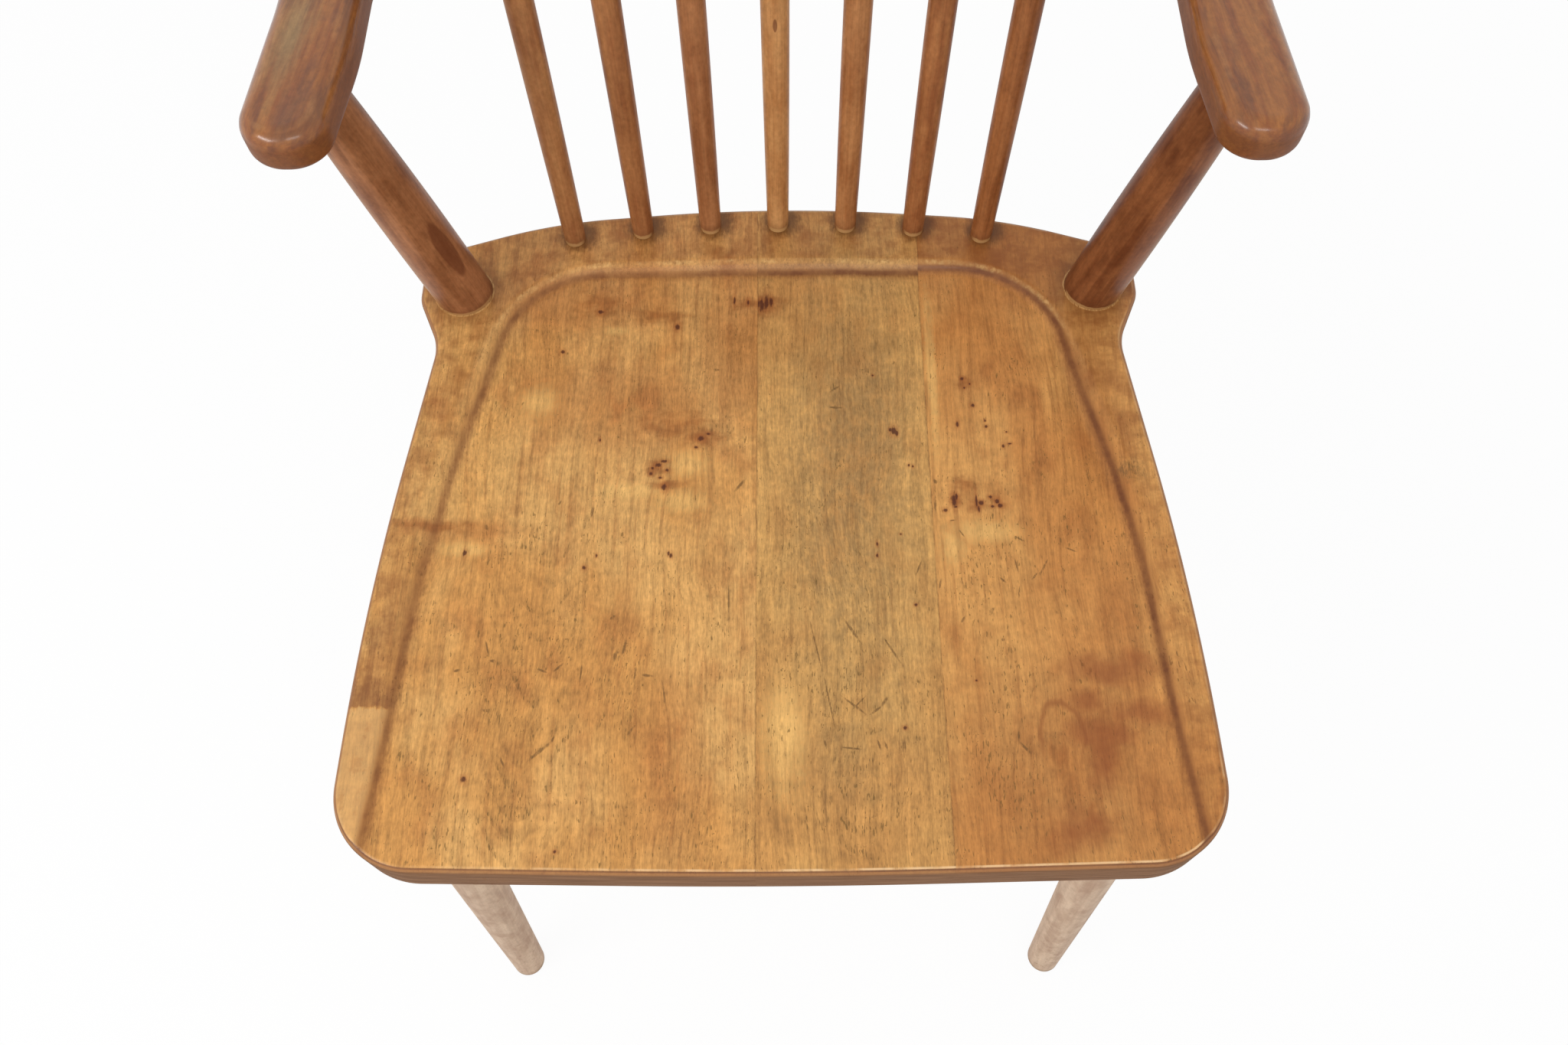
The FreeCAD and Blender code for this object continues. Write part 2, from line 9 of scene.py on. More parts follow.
import bmesh
import bpy
import mathutils
import numpy as np
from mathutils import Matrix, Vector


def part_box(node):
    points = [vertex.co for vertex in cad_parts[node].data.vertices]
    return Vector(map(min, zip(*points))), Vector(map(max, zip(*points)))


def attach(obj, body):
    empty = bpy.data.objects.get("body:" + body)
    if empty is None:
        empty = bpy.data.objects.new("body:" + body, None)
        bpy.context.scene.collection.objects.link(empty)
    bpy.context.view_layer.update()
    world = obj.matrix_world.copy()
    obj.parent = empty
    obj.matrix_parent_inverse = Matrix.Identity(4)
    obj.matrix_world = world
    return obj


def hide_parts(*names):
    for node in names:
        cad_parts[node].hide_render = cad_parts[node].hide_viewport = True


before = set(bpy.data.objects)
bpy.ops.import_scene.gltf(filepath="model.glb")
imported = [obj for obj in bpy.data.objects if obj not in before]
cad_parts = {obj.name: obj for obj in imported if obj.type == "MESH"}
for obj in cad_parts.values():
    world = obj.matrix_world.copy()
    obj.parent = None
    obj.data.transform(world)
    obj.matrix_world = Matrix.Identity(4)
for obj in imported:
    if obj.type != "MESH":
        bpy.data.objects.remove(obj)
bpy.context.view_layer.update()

# Seat boards. The seat is a 36 mm blank glued up from three plain-sawn birch
# boards with the grain front to back, sawn to a waisted outline, rounded along
# its edge and hollowed into a saddle inside a flat margin for the joints.

MM = 0.001
FRONT_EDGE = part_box("seat_board_middle")[0].y / MM
SEAT_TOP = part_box("seat_board_left")[1].z / MM
SEAT_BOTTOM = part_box("seat_board_left")[0].z / MM
LEFT_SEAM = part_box("seat_board_middle")[0].x / MM
RIGHT_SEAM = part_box("seat_board_middle")[1].x / MM
SEAT_DEPTH = 447.4
SEAT_ROUNDING = 4

# Corners (x, setback, radius) of the right half of the outline, front to rear
FRONT_CORNER = (245.5, 3.6, 47)
REAR_CORNER = (235.8, 410.2, 34)
SEAT_HALF = [(0, -0.8, 5000), FRONT_CORNER, (242.5, 160, 1800), (220.5, 338.7, 38),
             (235.8, 374, 24), REAR_CORNER, (151.5, 438, 330), (0, 450.9, 970)]
# The rim of the saddle, from past the front edge round to the rear
RIM_END = (228, -20, 0.01)
RIM_HALF = [RIM_END, (219.4, 227, 640), (171.5, 399.7, 80), (0, 404.8, 2000)]
RIM_SLOPE = 5 / 9
RIM_SOFTNESS = 2.4
REAR_START = 300
REAR_RUN = 90
REAR_STEEPNESS = 0.7
SADDLE_DEPTH = 8.5
SADDLE_RADIUS = 6500
SADDLE_CENTRE = 235.4
# The length of a cell of the seat's mesh, and the width of each board in cells
CELL = 1.7
BOARD_CELLS = {"left": 136, "middle": 63, "right": 89}
# The feet of the spindles, on a circle, and of the right post
SPINDLE_PITCH = 45.5
SPINDLE_ROW = 434
SPINDLE_ROW_RADIUS = 880
SPINDLE_FEET = [(x, SPINDLE_ROW - SPINDLE_ROW_RADIUS + math.sqrt(SPINDLE_ROW_RADIUS ** 2 - x ** 2))
                for x in (SPINDLE_PITCH * index for index in range(-3, 4))]
POST_FOOT = (206.5, 379)
SIDES = {"left": -1, "right": 1}


def even(points, count):
    """The same row of points, with a count of evenly spaced ones."""
    steps = np.hypot(*np.diff(points[:, :2], axis=0).T)
    length = np.concatenate([[0], np.cumsum(steps)])
    where = np.linspace(0, length[-1], count)
    return np.column_stack([np.interp(where, length, column) for column in points.T])


def outline(half, step=0.25):
    """The closed run, anticlockwise, through the corners of its right half and
    their mirror images: straight lines joined by arcs that touch both. An arc
    starts radius * tan(turn / 2) before its corner."""
    left = [(-x, y, radius) for x, y, radius in half if x > 0]
    corners = half + left[::-1]
    arcs = []
    for index, (x, y, radius) in enumerate(corners):
        here = np.array([x, y])
        arrive = here - corners[index - 1][:2]
        leave = np.array(corners[(index + 1) % len(corners)][:2]) - here
        arrive = arrive / np.linalg.norm(arrive)
        leave = leave / np.linalg.norm(leave)
        turn = math.atan2(arrive[0] * leave[1] - arrive[1] * leave[0], arrive @ leave)
        start = here - arrive * radius * math.tan(abs(turn) / 2)
        spoke = radius * math.copysign(1, turn) * np.array([arrive[1], -arrive[0]])
        angle = np.linspace(0, turn, max(2, round(abs(turn) * radius / step)))[:, None]
        across = np.array([-spoke[1], spoke[0]])
        arcs.append(start - spoke + spoke * np.cos(angle) + across * np.sin(angle))
    points = np.vstack(arcs + [arcs[0][:1]])
    length = np.hypot(*np.diff(points, axis=0).T).sum()
    points = even(points, round(length / step))[:-1]
    along = np.roll(points, -1, axis=0) - np.roll(points, 1, axis=0)
    along /= np.linalg.norm(along, axis=1)[:, None]
    return np.column_stack([points, along[:, 1], -along[:, 0]])


def stretch(loop, start, end):
    """The run of a loop from the point nearest to start, anticlockwise, to the
    point nearest to end."""
    first, last = (np.hypot(loop[:, 0] - spot[0], loop[:, 1] - spot[1]).argmin()
                   for spot in (start, end))
    return np.roll(loop, -first, axis=0)[:(last - first) % len(loop) + 1]


def mirrored(run):
    """A run mirrored about x = 0, in the same order."""
    return run * np.array([-1, 1, -1, 1])


def cut(start, end):
    """The straight, square-cut side between the ends of two runs."""
    return np.array([[start[0], start[1], 0, 0], [end[0], end[1], 0, 0]], float)


def ended(run, first=None, last=None):
    """A run that is cut at the x of its ends."""
    run = run.copy()
    for index, x in ((0, first), (-1, last)):
        if x is not None:
            run[index, [0, 2]] = x, 0
    return run


def patch(south, east, north, west, fade):
    """The sheet between four sides: the straight blend of south and north, plus
    what west and east stand off it, times (1 - u) ** fade and u ** fade."""
    u = np.linspace(0, 1, len(south))[:, None, None]
    v = np.linspace(0, 1, len(west))[None, :, None]
    sheet = (1 - v) * south[:, None] + v * north[:, None]
    for side, weight in ((west, (1 - u) ** fade), (east, u ** fade)):
        sheet = sheet + weight * (side - (1 - v[0]) * side[0] - v[0] * side[-1])
    return sheet


def plank(sides, cuts, top, bottom, rounding, cells, fade=1):
    """The sheets and flat faces of a sawn plank. Its sides are four runs; those
    named in cuts are square, and the others are rounded by quarter circles
    above and below. Its upper face has the height top(x, setback)."""
    upper, lower = rounding
    names = ("south", "east", "north", "west")
    sides = {name: even(side, cells[name in ("east", "west")])
             for name, side in zip(names, sides)}

    def drawn_in(depth):
        edge = {name: side[:, :2] - side[:, 2:] * depth for name, side in sides.items()}
        for name in cuts:
            first, last = ("west", "east") if name in ("south", "north") else ("south", "north")
            index = 0 if name in ("south", "west") else -1
            edge[name] = np.linspace(edge[first][index], edge[last][index], len(edge[name]))
        return edge

    inner = drawn_in(upper)
    plan = patch(*(inner[name] for name in names), fade)
    sheets = [np.dstack([plan, top(plan[..., 0], plan[..., 1])])]
    flat = drawn_in(lower)
    floor = np.vstack([flat["south"], flat["east"], flat["north"][::-1], flat["west"][::-1]])
    faces = [np.column_stack([floor, np.full(len(floor), float(bottom))])]
    walls = {}
    for name in names:
        if name in cuts:
            continue
        crest = top(*inner[name].T)
        turn = np.linspace(0, math.pi / 2, 8)
        above = [np.column_stack([drawn_in(upper * (1 - math.sin(angle)))[name],
                                  crest - upper * (1 - math.cos(angle))]) for angle in turn]
        below = [np.column_stack([drawn_in(lower * (1 - math.cos(angle)))[name],
                                  crest * 0 + bottom + lower * (1 - math.sin(angle))])
                 for angle in turn]
        walls[name] = np.array(above + below)
    sheets += walls.values()
    for name in cuts:
        first, last = ("west", "east") if name in ("south", "north") else ("south", "north")
        index = 0 if name in ("south", "west") else -1
        crest = np.column_stack([inner[name], top(*inner[name].T)])
        faces.append(np.vstack([walls[first][:, index], walls[last][::-1, index], crest[::-1]]))
    return sheets, faces


def piece(name, node, slot, sheets, faces, crease=35):
    """The visible piece for a node, from sheets of points and flat faces in the
    seat's frame: doubles merged, faces outward, smooth but for its creases."""
    verts = []
    cells = []
    count = 0
    for sheet in sheets:
        rows, columns = sheet.shape[:2]
        index = count + np.arange(rows * columns).reshape(rows, columns)
        ring = [index[:-1, :-1], index[1:, :-1], index[1:, 1:], index[:-1, 1:]]
        cells += np.stack(ring, axis=-1).reshape(-1, 4).tolist()
        verts.append(sheet.reshape(-1, 3))
        count += rows * columns
    for face in faces:
        cells.append(list(range(count, count + len(face))))
        verts.append(face)
        count += len(face)
    mesh = bpy.data.meshes.new(name)
    points = (np.vstack(verts) + [0, FRONT_EDGE, 0]) * MM
    mesh.from_pydata(points.tolist(), [], cells)
    work = bmesh.new()
    work.from_mesh(mesh)
    bmesh.ops.remove_doubles(work, verts=work.verts, dist=0.005 * MM)
    bmesh.ops.dissolve_degenerate(work, edges=work.edges, dist=0.002 * MM)
    bmesh.ops.recalc_face_normals(work, faces=work.faces)
    work.to_mesh(mesh)
    work.free()
    mesh.shade_smooth()
    mesh.set_sharp_from_angle(angle=math.radians(crease))
    made = bpy.data.objects.new(name, mesh)
    bpy.context.scene.collection.objects.link(made)
    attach(made, "root")
    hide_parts(node)
    return made


def places(made):
    """The points of a piece in the seat's frame, in millimetres."""
    flat = np.empty(len(made.data.vertices) * 3)
    made.data.vertices.foreach_get("co", flat)
    return flat.reshape(-1, 3) / MM - [0, FRONT_EDGE, 0]


def mark(made, name, values):
    """Keeps a number or a point for each vertex, for the piece's material."""
    kind, field = ("FLOAT", "value") if values.ndim == 1 else ("FLOAT_VECTOR", "vector")
    layer = made.data.attributes.new(name, kind, "POINT")
    layer.data.foreach_set(field, values.ravel())


def past(run, x, y):
    """How far points lie past a run, along the normal of its nearest point."""
    spots = np.column_stack([np.ravel(x), np.ravel(y)])
    away = []
    for some in np.array_split(spots, 1 + len(spots) // 4000):
        near = ((some[:, None] - run[None, :, :2]) ** 2).sum(axis=2).argmin(axis=1)
        away.append(((some - run[near, :2]) * run[near, 2:]).sum(axis=1))
    return np.concatenate(away).reshape(np.shape(x))


def lesser(a, b, softness):
    """The lesser of two heights, with the crease between them rounded."""
    share = np.clip(0.5 + (b - a) / (2 * softness), 0, 1)
    return b + (a - b) * share - softness * share * (1 - share)


seat_loop = outline(SEAT_HALF)
rim_run = stretch(outline(RIM_HALF), RIM_END, (-RIM_END[0], RIM_END[1]))[::8]


def rim_rise(y):
    """The slope of the rim, steeper at the rear."""
    share = np.clip((y - REAR_START) / REAR_RUN, 0, 1)
    return RIM_SLOPE * (1 + REAR_STEEPNESS * share)


def hollow(x, y):
    """The heights of the rim's slope and of the shallow bowl inside it."""
    slope = SEAT_TOP + past(rim_run, x, y) * rim_rise(y)
    bowl = SEAT_TOP - SADDLE_DEPTH + (x ** 2 + (y - SADDLE_CENTRE) ** 2) / (2 * SADDLE_RADIUS)
    return slope, bowl


def seat_height(x, y):
    """The upper face: flat outside the rim, then the greater of slope and bowl."""
    slope, bowl = hollow(x, y)
    return lesser(-lesser(-slope, -bowl, RIM_SOFTNESS), SEAT_TOP, RIM_SOFTNESS)


right_side = stretch(seat_loop, FRONT_CORNER, REAR_CORNER)
front = {"right": stretch(seat_loop, (RIGHT_SEAM, 0), FRONT_CORNER),
         "middle": stretch(seat_loop, (LEFT_SEAM, 0), (RIGHT_SEAM, 0)),
         "left": mirrored(stretch(seat_loop, (-LEFT_SEAM, 0), FRONT_CORNER))[::-1]}
rear = {"right": stretch(seat_loop, REAR_CORNER, (RIGHT_SEAM, SEAT_DEPTH))[::-1],
        "middle": stretch(seat_loop, (RIGHT_SEAM, SEAT_DEPTH), (LEFT_SEAM, SEAT_DEPTH))[::-1],
        "left": mirrored(stretch(seat_loop, REAR_CORNER, (-LEFT_SEAM, SEAT_DEPTH)))}
seat_boards = {}
for name, west, east in (("left", None, LEFT_SEAM), ("right", RIGHT_SEAM, None),
                         ("middle", LEFT_SEAM, RIGHT_SEAM)):
    south = ended(front[name], west, east)
    north = ended(rear[name], west, east)
    sides = (south, right_side if east is None else cut(south[-1], north[-1]),
             north, mirrored(right_side) if west is None else cut(south[0], north[0]))
    cuts = [side for side, seam in (("west", west), ("east", east)) if seam is not None]
    board = piece(f"board_{name}", f"seat_board_{name}", "seat_wood",
                  *plank(sides, cuts, seat_height, SEAT_BOTTOM, (SEAT_ROUNDING, SEAT_ROUNDING),
                         (BOARD_CELLS[name], round(SEAT_DEPTH / CELL))))
    spots = places(board)
    slope, bowl = hollow(spots[:, 0], spots[:, 1])
    rise = rim_rise(spots[:, 1])
    mark(board, "rim", (SEAT_TOP - slope) / rise)
    mark(board, "valley", (bowl - slope) / rise)
    mark(board, "drop", seat_height(spots[:, 0], spots[:, 1]) - spots[:, 2])
    seat_boards[name] = board


class Field:
    """A number, point or colour at each point of a surface: one output of a
    shader node. Arithmetic on it adds Math or Vector Math nodes."""

    def __init__(self, socket):
        self.socket = socket

    def node(self, kind, inputs, output=0, **settings):
        """An output of one more node, with its inputs by place or name."""
        made = self.socket.id_data.nodes.new("ShaderNode" + kind)
        for name, value in settings.items():
            setattr(made, name, value)
        for place, value in inputs.items():
            if isinstance(value, Field):
                made.id_data.links.new(value.socket, made.inputs[place])
            else:
                made.inputs[place].default_value = value
        return Field(made.outputs[output])

    def maths(self, operation, *others):
        """A Math node's result, or a Vector Math node's where a value has parts."""
        values = (self, *others)
        wide = any(isinstance(value, tuple) or getattr(value, "wide", False) for value in values)
        if wide:
            values = [(value,) * 3 if isinstance(value, (int, float)) else value
                      for value in values]
        output = 1 if wide and operation in ("LENGTH", "DISTANCE", "DOT_PRODUCT") else 0
        kind = "VectorMath" if wide else "Math"
        return self.node(kind, dict(enumerate(values)), output, operation=operation)

    @property
    def wide(self):
        return self.socket.type != "VALUE"

    def __add__(self, other):
        return self.maths("ADD", other)

    __radd__ = __add__

    def __sub__(self, other):
        return self.maths("SUBTRACT", other)

    def __rsub__(self, other):
        return self * -1 + other

    def __mul__(self, other):
        return self.maths("MULTIPLY", other)

    __rmul__ = __mul__

    def __truediv__(self, other):
        return self.maths("DIVIDE", other)

    def __pow__(self, other):
        return self.maths("POWER", other)

    def step(self, start, end):
        """0 at start and 1 at end, which may be the lesser, level past both and
        smooth between them."""
        inputs = {0: self, 1: float(start), 2: float(end)}
        return self.node("MapRange", inputs, interpolation_type="SMOOTHSTEP")

    def part(self, index):
        """The x, y or z of a point."""
        return self.node("SeparateXYZ", {0: self}, index)

    def noise(self, size, detail=2.0, roughness=0.5, seed=0):
        """Smooth noise about 0.5, with spots of a size, a length or three."""
        size = size if isinstance(size, tuple) else (size,) * 3
        place = self / size + (0.0, 0.0, 7.3 * seed)
        inputs = {"Vector": place, "Scale": 1.0, "Detail": detail, "Roughness": roughness}
        return self.node("TexNoise", inputs)

    def blend(self, first, second):
        """The first colour where this is 0 and the second where it is 1."""
        inputs = {0: self, 6: first, 7: second}
        return self.node("Mix", inputs, 2, data_type="RGBA")


def tone(*display):
    """The linear colour of a display colour: red, green and blue out of 255."""
    return tuple((value / 255) ** 2.2 for value in display) + (1.0,)


def wood(name):
    """A new material: its principled shader, and the place of each point in
    the seat's frame, in millimetres."""
    material = bpy.data.materials.new(name)
    material.use_nodes = True
    nodes = material.node_tree.nodes
    place = Field(nodes.new("ShaderNodeTexCoord").outputs["Object"]) / MM - (0.0, FRONT_EDGE, 0.0)
    return material, nodes["Principled BSDF"], place


def kept(place, name, output=2):
    """A value marked on the mesh: output 2 is a number, and 1 a point."""
    return place.node("Attribute", {}, output, attribute_name=name)


def lacquered(shader, colour, roughness, relief, shine, coat=None):
    """Joins a colour, a roughness, a relief in millimetres and the weight of
    the lacquer, if any, to the shader."""
    links = shader.id_data.links
    links.new(colour.socket, shader.inputs["Base Color"])
    links.new(roughness.socket, shader.inputs["Roughness"])
    if coat:
        links.new(coat.socket, shader.inputs["Coat Weight"])
    bump = colour.node("Bump", {"Height": relief * MM, "Distance": 1.0, "Strength": 1.0})
    links.new(bump.socket, shader.inputs["Normal"])
    shader.inputs["Specular IOR Level"].default_value = shine
    shader.inputs["Coat Roughness"].default_value = 0.16


def nearest(plan, marks):
    """The distance to the nearest of some oval marks (x, setback, half width,
    half length and a turn in degrees, if any), as a share of its size."""
    least = None
    for x, y, half_width, half_length, *turn in marks:
        gap = plan - (x, y, 0.0)
        if turn:
            cos, sin = math.cos(math.radians(turn[0])), math.sin(math.radians(turn[0]))
            across = gap.maths("DOT_PRODUCT", (cos / half_width, sin / half_width, 0.0))
            along = gap.maths("DOT_PRODUCT", (-sin / half_length, cos / half_length, 0.0))
            gap = (across * across + along * along) ** 0.5
        else:
            gap = (gap / (half_width, half_length, 1.0)).maths("LENGTH")
        least = gap if least is None else least.maths("MINIMUM", gap)
    return least


# The tones and marks of each board. A mark is an oval: x, setback, half width,
# half length and, for some, a turn in degrees. The strengths called rear, rings
# and busy are those of the stain at the rear, the growth rings and the fibres.
# The groove's numbers are how far its dark line lies off the valley, and the
# strengths of its broad band and its dark core, both grime and painted shade.
BOARDS = {
    "left": {
        "seed": 0, "rear": 0.1, "groove": (0.0, 0.5, 0.2),
        "fair": tone(212, 161, 96), "warm": tone(197, 140, 77), "deep": tone(166, 106, 57),
        "heart": (-142, 290), "rings": 0.5, "busy": 1.0, "olive": None,
        "broad": [(-98, 294, 56, 36), (-192, 207, 44, 8), (-130, 374, 60, 24), (-30, 334, 26, 56),
                  (-60, 60, 20, 60)],
        "pins": [(-139.8, 335.8, 1.4, 1.4), (-112.1, 270.1, 0.8, 1.4), (-79.3, 246.1, 1.2, 1.4),
                 (-78.5, 250.1, 1, 1), (-74.8, 252.2, 2.2, 1.6), (-71.3, 254.9, 2, 1),
                 (-73.5, 243.3, 1.4, 1), (-69.4, 248.7, 1.2, 1.2), (-70.7, 236.6, 1.6, 2.4),
                 (-65.1, 190.3, 1, 1.8), (-66.5, 191.6, 0.8, 1.4), (-116.6, 182.2, 1.4, 1.5),
                 (-109.6, 190.2, 0.7, 1.4), (-188.4, 191.9, 1.3, 2.2), (-174.4, 53.2, 1.7, 1.9),
                 (-121, 13.4, 0.9, 0.9), (-49.1, 271.2, 2.4, 2), (-51.8, 264.9, 1.2, 1),
                 (-44.4, 274.5, 1.4, 1), (-117, 367, 2, 1.6),
                 (-66, 355, 1.6, 2.2), (-29, 376, 0.8, 3.4), (-20, 374, 0.8, 2.4)],
        "strokes": [(-24, 238, 1, 5.5, -39), (-66, 103, 0.5, 7.2, 9), (-76, 114, 0.9, 3.3, 82),
                    (-98, 150, 0.9, 2.1, -46), (-95, 126, 1.2, 4.6, -14), (-90, 131, 0.9, 4.8, -10),
                    (-185, 117, 0.9, 2.2, -72), (-134, 69, 1.1, 8.1, -48),
                    (-127, 76, 0.8, 1.8, -16), (-154, 63, 0.7, 3, 26), (-136, 117, 0.8, 3.3, 69),
                    (-127, 119, 0.8, 3.8, -46), (-84, 81, 0.8, 2.7, -34), (-169, 131, 0.6, 5.6, 17),
                    (-114, 116, 0.5, 6.4, -3), (-30, 159, 0.6, 12.8, 1), (-114, 220, 0.9, 4, -8),
                    (-134, 226, 0.7, 1.8, -28), (-83, 115, 0.5, 4.7, -7), (-165, 123, 1, 1.8, 80),
                    (-166, 93, 1, 1.7, 80), (-177, 209, 1, 2, 10), (-40, 322, 1, 2, 80)],
        "pale": [(-56, 253, 17, 11), (-92, 234, 24, 7), (-60, 227, 20, 9), (-152, 298, 14, 14),
                 (-188, 194, 16, 6), (-106, 352, 8, 4)],
        "brown": [(-48, 272, 16, 7), (-66, 280, 24, 9), (-68, 239, 13, 3), (-76, 250, 8, 6),
                  (-78, 364, 18, 6), (-20, 374, 12, 5), (-117, 373, 14, 10), (-208, 209, 24, 4)],
    },
    "middle": {
        "seed": 3, "rear": 0.1, "groove": (0.0, 0.62, 0.45),
        "fair": tone(208, 157, 91), "warm": tone(194, 140, 79), "deep": tone(162, 114, 65),
        "heart": (52, 200), "rings": 0.25, "busy": 1.0, "olive": tone(152, 120, 76),
        "broad": [(-8, 372, 14, 12), (50, 304, 22, 60), (30, 63, 22, 30)],
        "pins": [(72.1, 275.2, 2, 2.8), (70, 276.1, 1, 1.4), (73.9, 273.8, 1, 2),
                 (60.4, 316.6, 0.9, 0.8), (58.8, 196.8, 0.8, 1.6), (58.5, 189.2, 0.8, 1.2),
                 (80, 156.7, 1, 1), (69.9, 81.5, 1.1, 1.1), (73.1, 203.3, 0.7, 0.7),
                 (80.3, 250.7, 0.8, 1), (82.8, 249.9, 0.8, 1), (-11, 372, 2, 5),
                 (-7.9, 373.8, 1.6, 6), (-4.9, 374.4, 1.2, 4), (-13, 372.6, 0.8, 3),
                 (-16.5, 372, 1, 2)],
        "strokes": [(21, 131, 0.5, 16.9, 12), (28, 97, 0.5, 17.3, 10), (42, 141, 0.9, 9.9, 32),
                    (65, 128, 0.7, 10.2, 30), (42, 95, 0.8, 8.8, 51), (54, 92, 0.8, 4.8, -54),
                    (59, 97, 1, 3.3, -32), (40, 70, 0.6, 5.6, 83), (25, 73, 0.7, 2.3, 15),
                    (55, 72, 0.7, 2.9, 15), (59, 71, 0.7, 2.5, 17), (45, 97, 0.5, 4.8, -45),
                    (83, 181, 0.6, 5.4, -22), (36, 293, 0.9, 4.2, 86), (36, 307, 0.8, 3.8, -56),
                    (69, 71, 1.2, 4.9, -3), (74, 326, 0.9, 1.5, -16)],
        "pale": [(2, 75, 14, 40)],
        "brown": [(-9, 373, 12, 8)],
    },
    "right": {
        "seed": 6, "rear": 0.36, "groove": (2.4, 0.62, 0.45),
        "fair": tone(208, 151, 86), "warm": tone(192, 130, 70), "deep": tone(148, 89, 45),
        "heart": (150, -60), "rings": 0.15, "busy": 0.72, "olive": None,
        "broad": [(165, 52, 64, 76), (194, 290, 16, 60), (200, 130, 14, 60), (196, 112, 24, 12)],
        "pins": [(117.3, 313.1, 1.3, 1.4), (121.9, 309, 0.8, 0.8), (118.3, 306.2, 0.8, 0.8),
                 (122.8, 293, 1.3, 1.4), (112.2, 279.3, 0.9, 2.2), (129.7, 281.7, 0.7, 0.9),
                 (130.1, 277.5, 1.1, 1.1), (142.4, 273.2, 0.7, 0.7), (139.5, 263.2, 1, 1.4),
                 (143.7, 264.8, 1.4, 0.7), (101, 219.1, 1.6, 1.2), (106.6, 225.4, 1.6, 4.4),
                 (108.4, 228.2, 1, 2.4), (107.5, 221.2, 1.2, 1), (120.3, 225.5, 0.7, 4),
                 (121.3, 219.4, 0.8, 2.4), (123, 223.6, 1.6, 1.6), (128.9, 227.8, 1.4, 1.1),
                 (129.8, 221.2, 1.3, 1), (132.9, 224.6, 1.4, 1.8), (134.5, 221.7, 1.6, 1.4),
                 (111.8, 109.2, 0.8, 0.6)],
        "strokes": [(95, 222, 0.8, 5.2, -2), (124, 152, 1, 3, -28), (96, 239, 1.2, 1.8, 28),
                    (107, 147, 0.8, 2.6, -33), (90, 131, 1.2, 0.7, 79), (141, 181, 0.6, 4.5, 10),
                    (157, 180, 0.6, 5.7, -29), (151, 174, 0.6, 2.7, -38), (132, 172, 0.6, 2.7, 45),
                    (105, 212, 0.5, 2.3, -84), (110, 203, 0.6, 3, 31), (144, 199, 0.6, 3.3, 54),
                    (174, 191, 0.6, 3.6, 65), (141, 164, 0.6, 3.7, -8), (95, 170, 0.6, 3.8, -12),
                    (136, 69, 0.9, 4.4, 41), (133, 76, 0.7, 3.3, -5), (129, 134, 1, 1, 0)],
        "pale": [(122, 204, 26, 9), (104, 194, 10, 14), (98, 320, 4, 70)],
        "brown": [(107, 226, 4, 7), (121, 222, 5, 5), (133, 224, 6, 5), (114, 237, 10, 6),
                  (118, 310, 5, 5)],
    },
}


def growth_rings(place, x, y, wander, curl, heart, seed):
    """Late wood of plain-sawn growth rings, drawn out as loops about a heart
    (x0, y0) and fading away from it: dark where hypot((y - y0) / 16, 1.4) +
    8.25 * hypot((x - x0) / 40, 1) lies between 0.35 and 1 past a whole number."""
    x = x - heart[0]
    from_heart = y - heart[1]
    along = (from_heart + wander * 60 + curl * 12) / 16
    across = (x + wander * 34) / 40
    bend = ((across * across + 1) ** 0.5) * 8.25
    ring = ((along * along + 2) ** 0.5 + bend).maths("FRACT")
    ring = ring.step(0.35, 0.9) * ring.step(1.0, 0.9)
    ring = ring * place.noise((15, 22, 15), 3.0, 0.6, seed + 5).step(0.34, 0.62)
    ring = ring * x.maths("ABSOLUTE").step(48, 14)
    return ring * from_heart.maths("ABSOLUTE").step(30, 110) * (y.step(330, 240) * 0.7 + 0.3)


def right_stain(colour, place, plan, y, seed):
    """The reddish stain at the front of the right board, with the dark arch
    that stands on its left."""
    swirl = place.noise((16, 16, 16), 2.0, 0.5, seed + 15) - 0.5
    stain = nearest(plan, [(180, 78, 18, 9), (201, 88, 20, 7), (178, 60, 8, 16),
                           (160, 22, 15, 12), (190, 114, 26, 10), (172, 98, 12, 8)])
    stain = (stain + swirl * 2.4).step(1.7, 0.1) * 0.62
    colour = stain.blend(colour, tone(140, 76, 40))
    arch = nearest(plan, [(157, 74, 12, 21)]) + swirl * 0.5 - 1
    arch = arch.maths("ABSOLUTE").step(0.17, 0.0) * y.step(52, 78)
    return (arch * 0.55).blend(colour, tone(138, 80, 42))


def left_margin(colour, place, grain, low, valley, blot, seed):
    """The margin of the left board: smoky streaks behind a sharp line 94 mm
    from the front edge, and faded wood in front of it."""
    smoke = valley.step(0, -3) * low.step(93, 95) * low.step(205, 110)
    smoke = smoke * ((grain.noise((5, 60, 5), 2.0, 0.6, seed) - 0.3) * 1.3
                     + low.step(118, 96) * 0.4 + blot * 0.2) * 0.85
    colour = smoke.blend(colour, tone(124, 76, 46))
    faded = valley.step(0, -4) * low.step(94, 92)
    colour = (faded * 0.34).blend(colour, tone(230, 188, 128))
    marks = place.noise((8, 10, 8), 3.0, 0.6, seed + 1).step(0.5, 0.66) * faded
    return (marks * 0.35).blend(colour, tone(170, 112, 64))


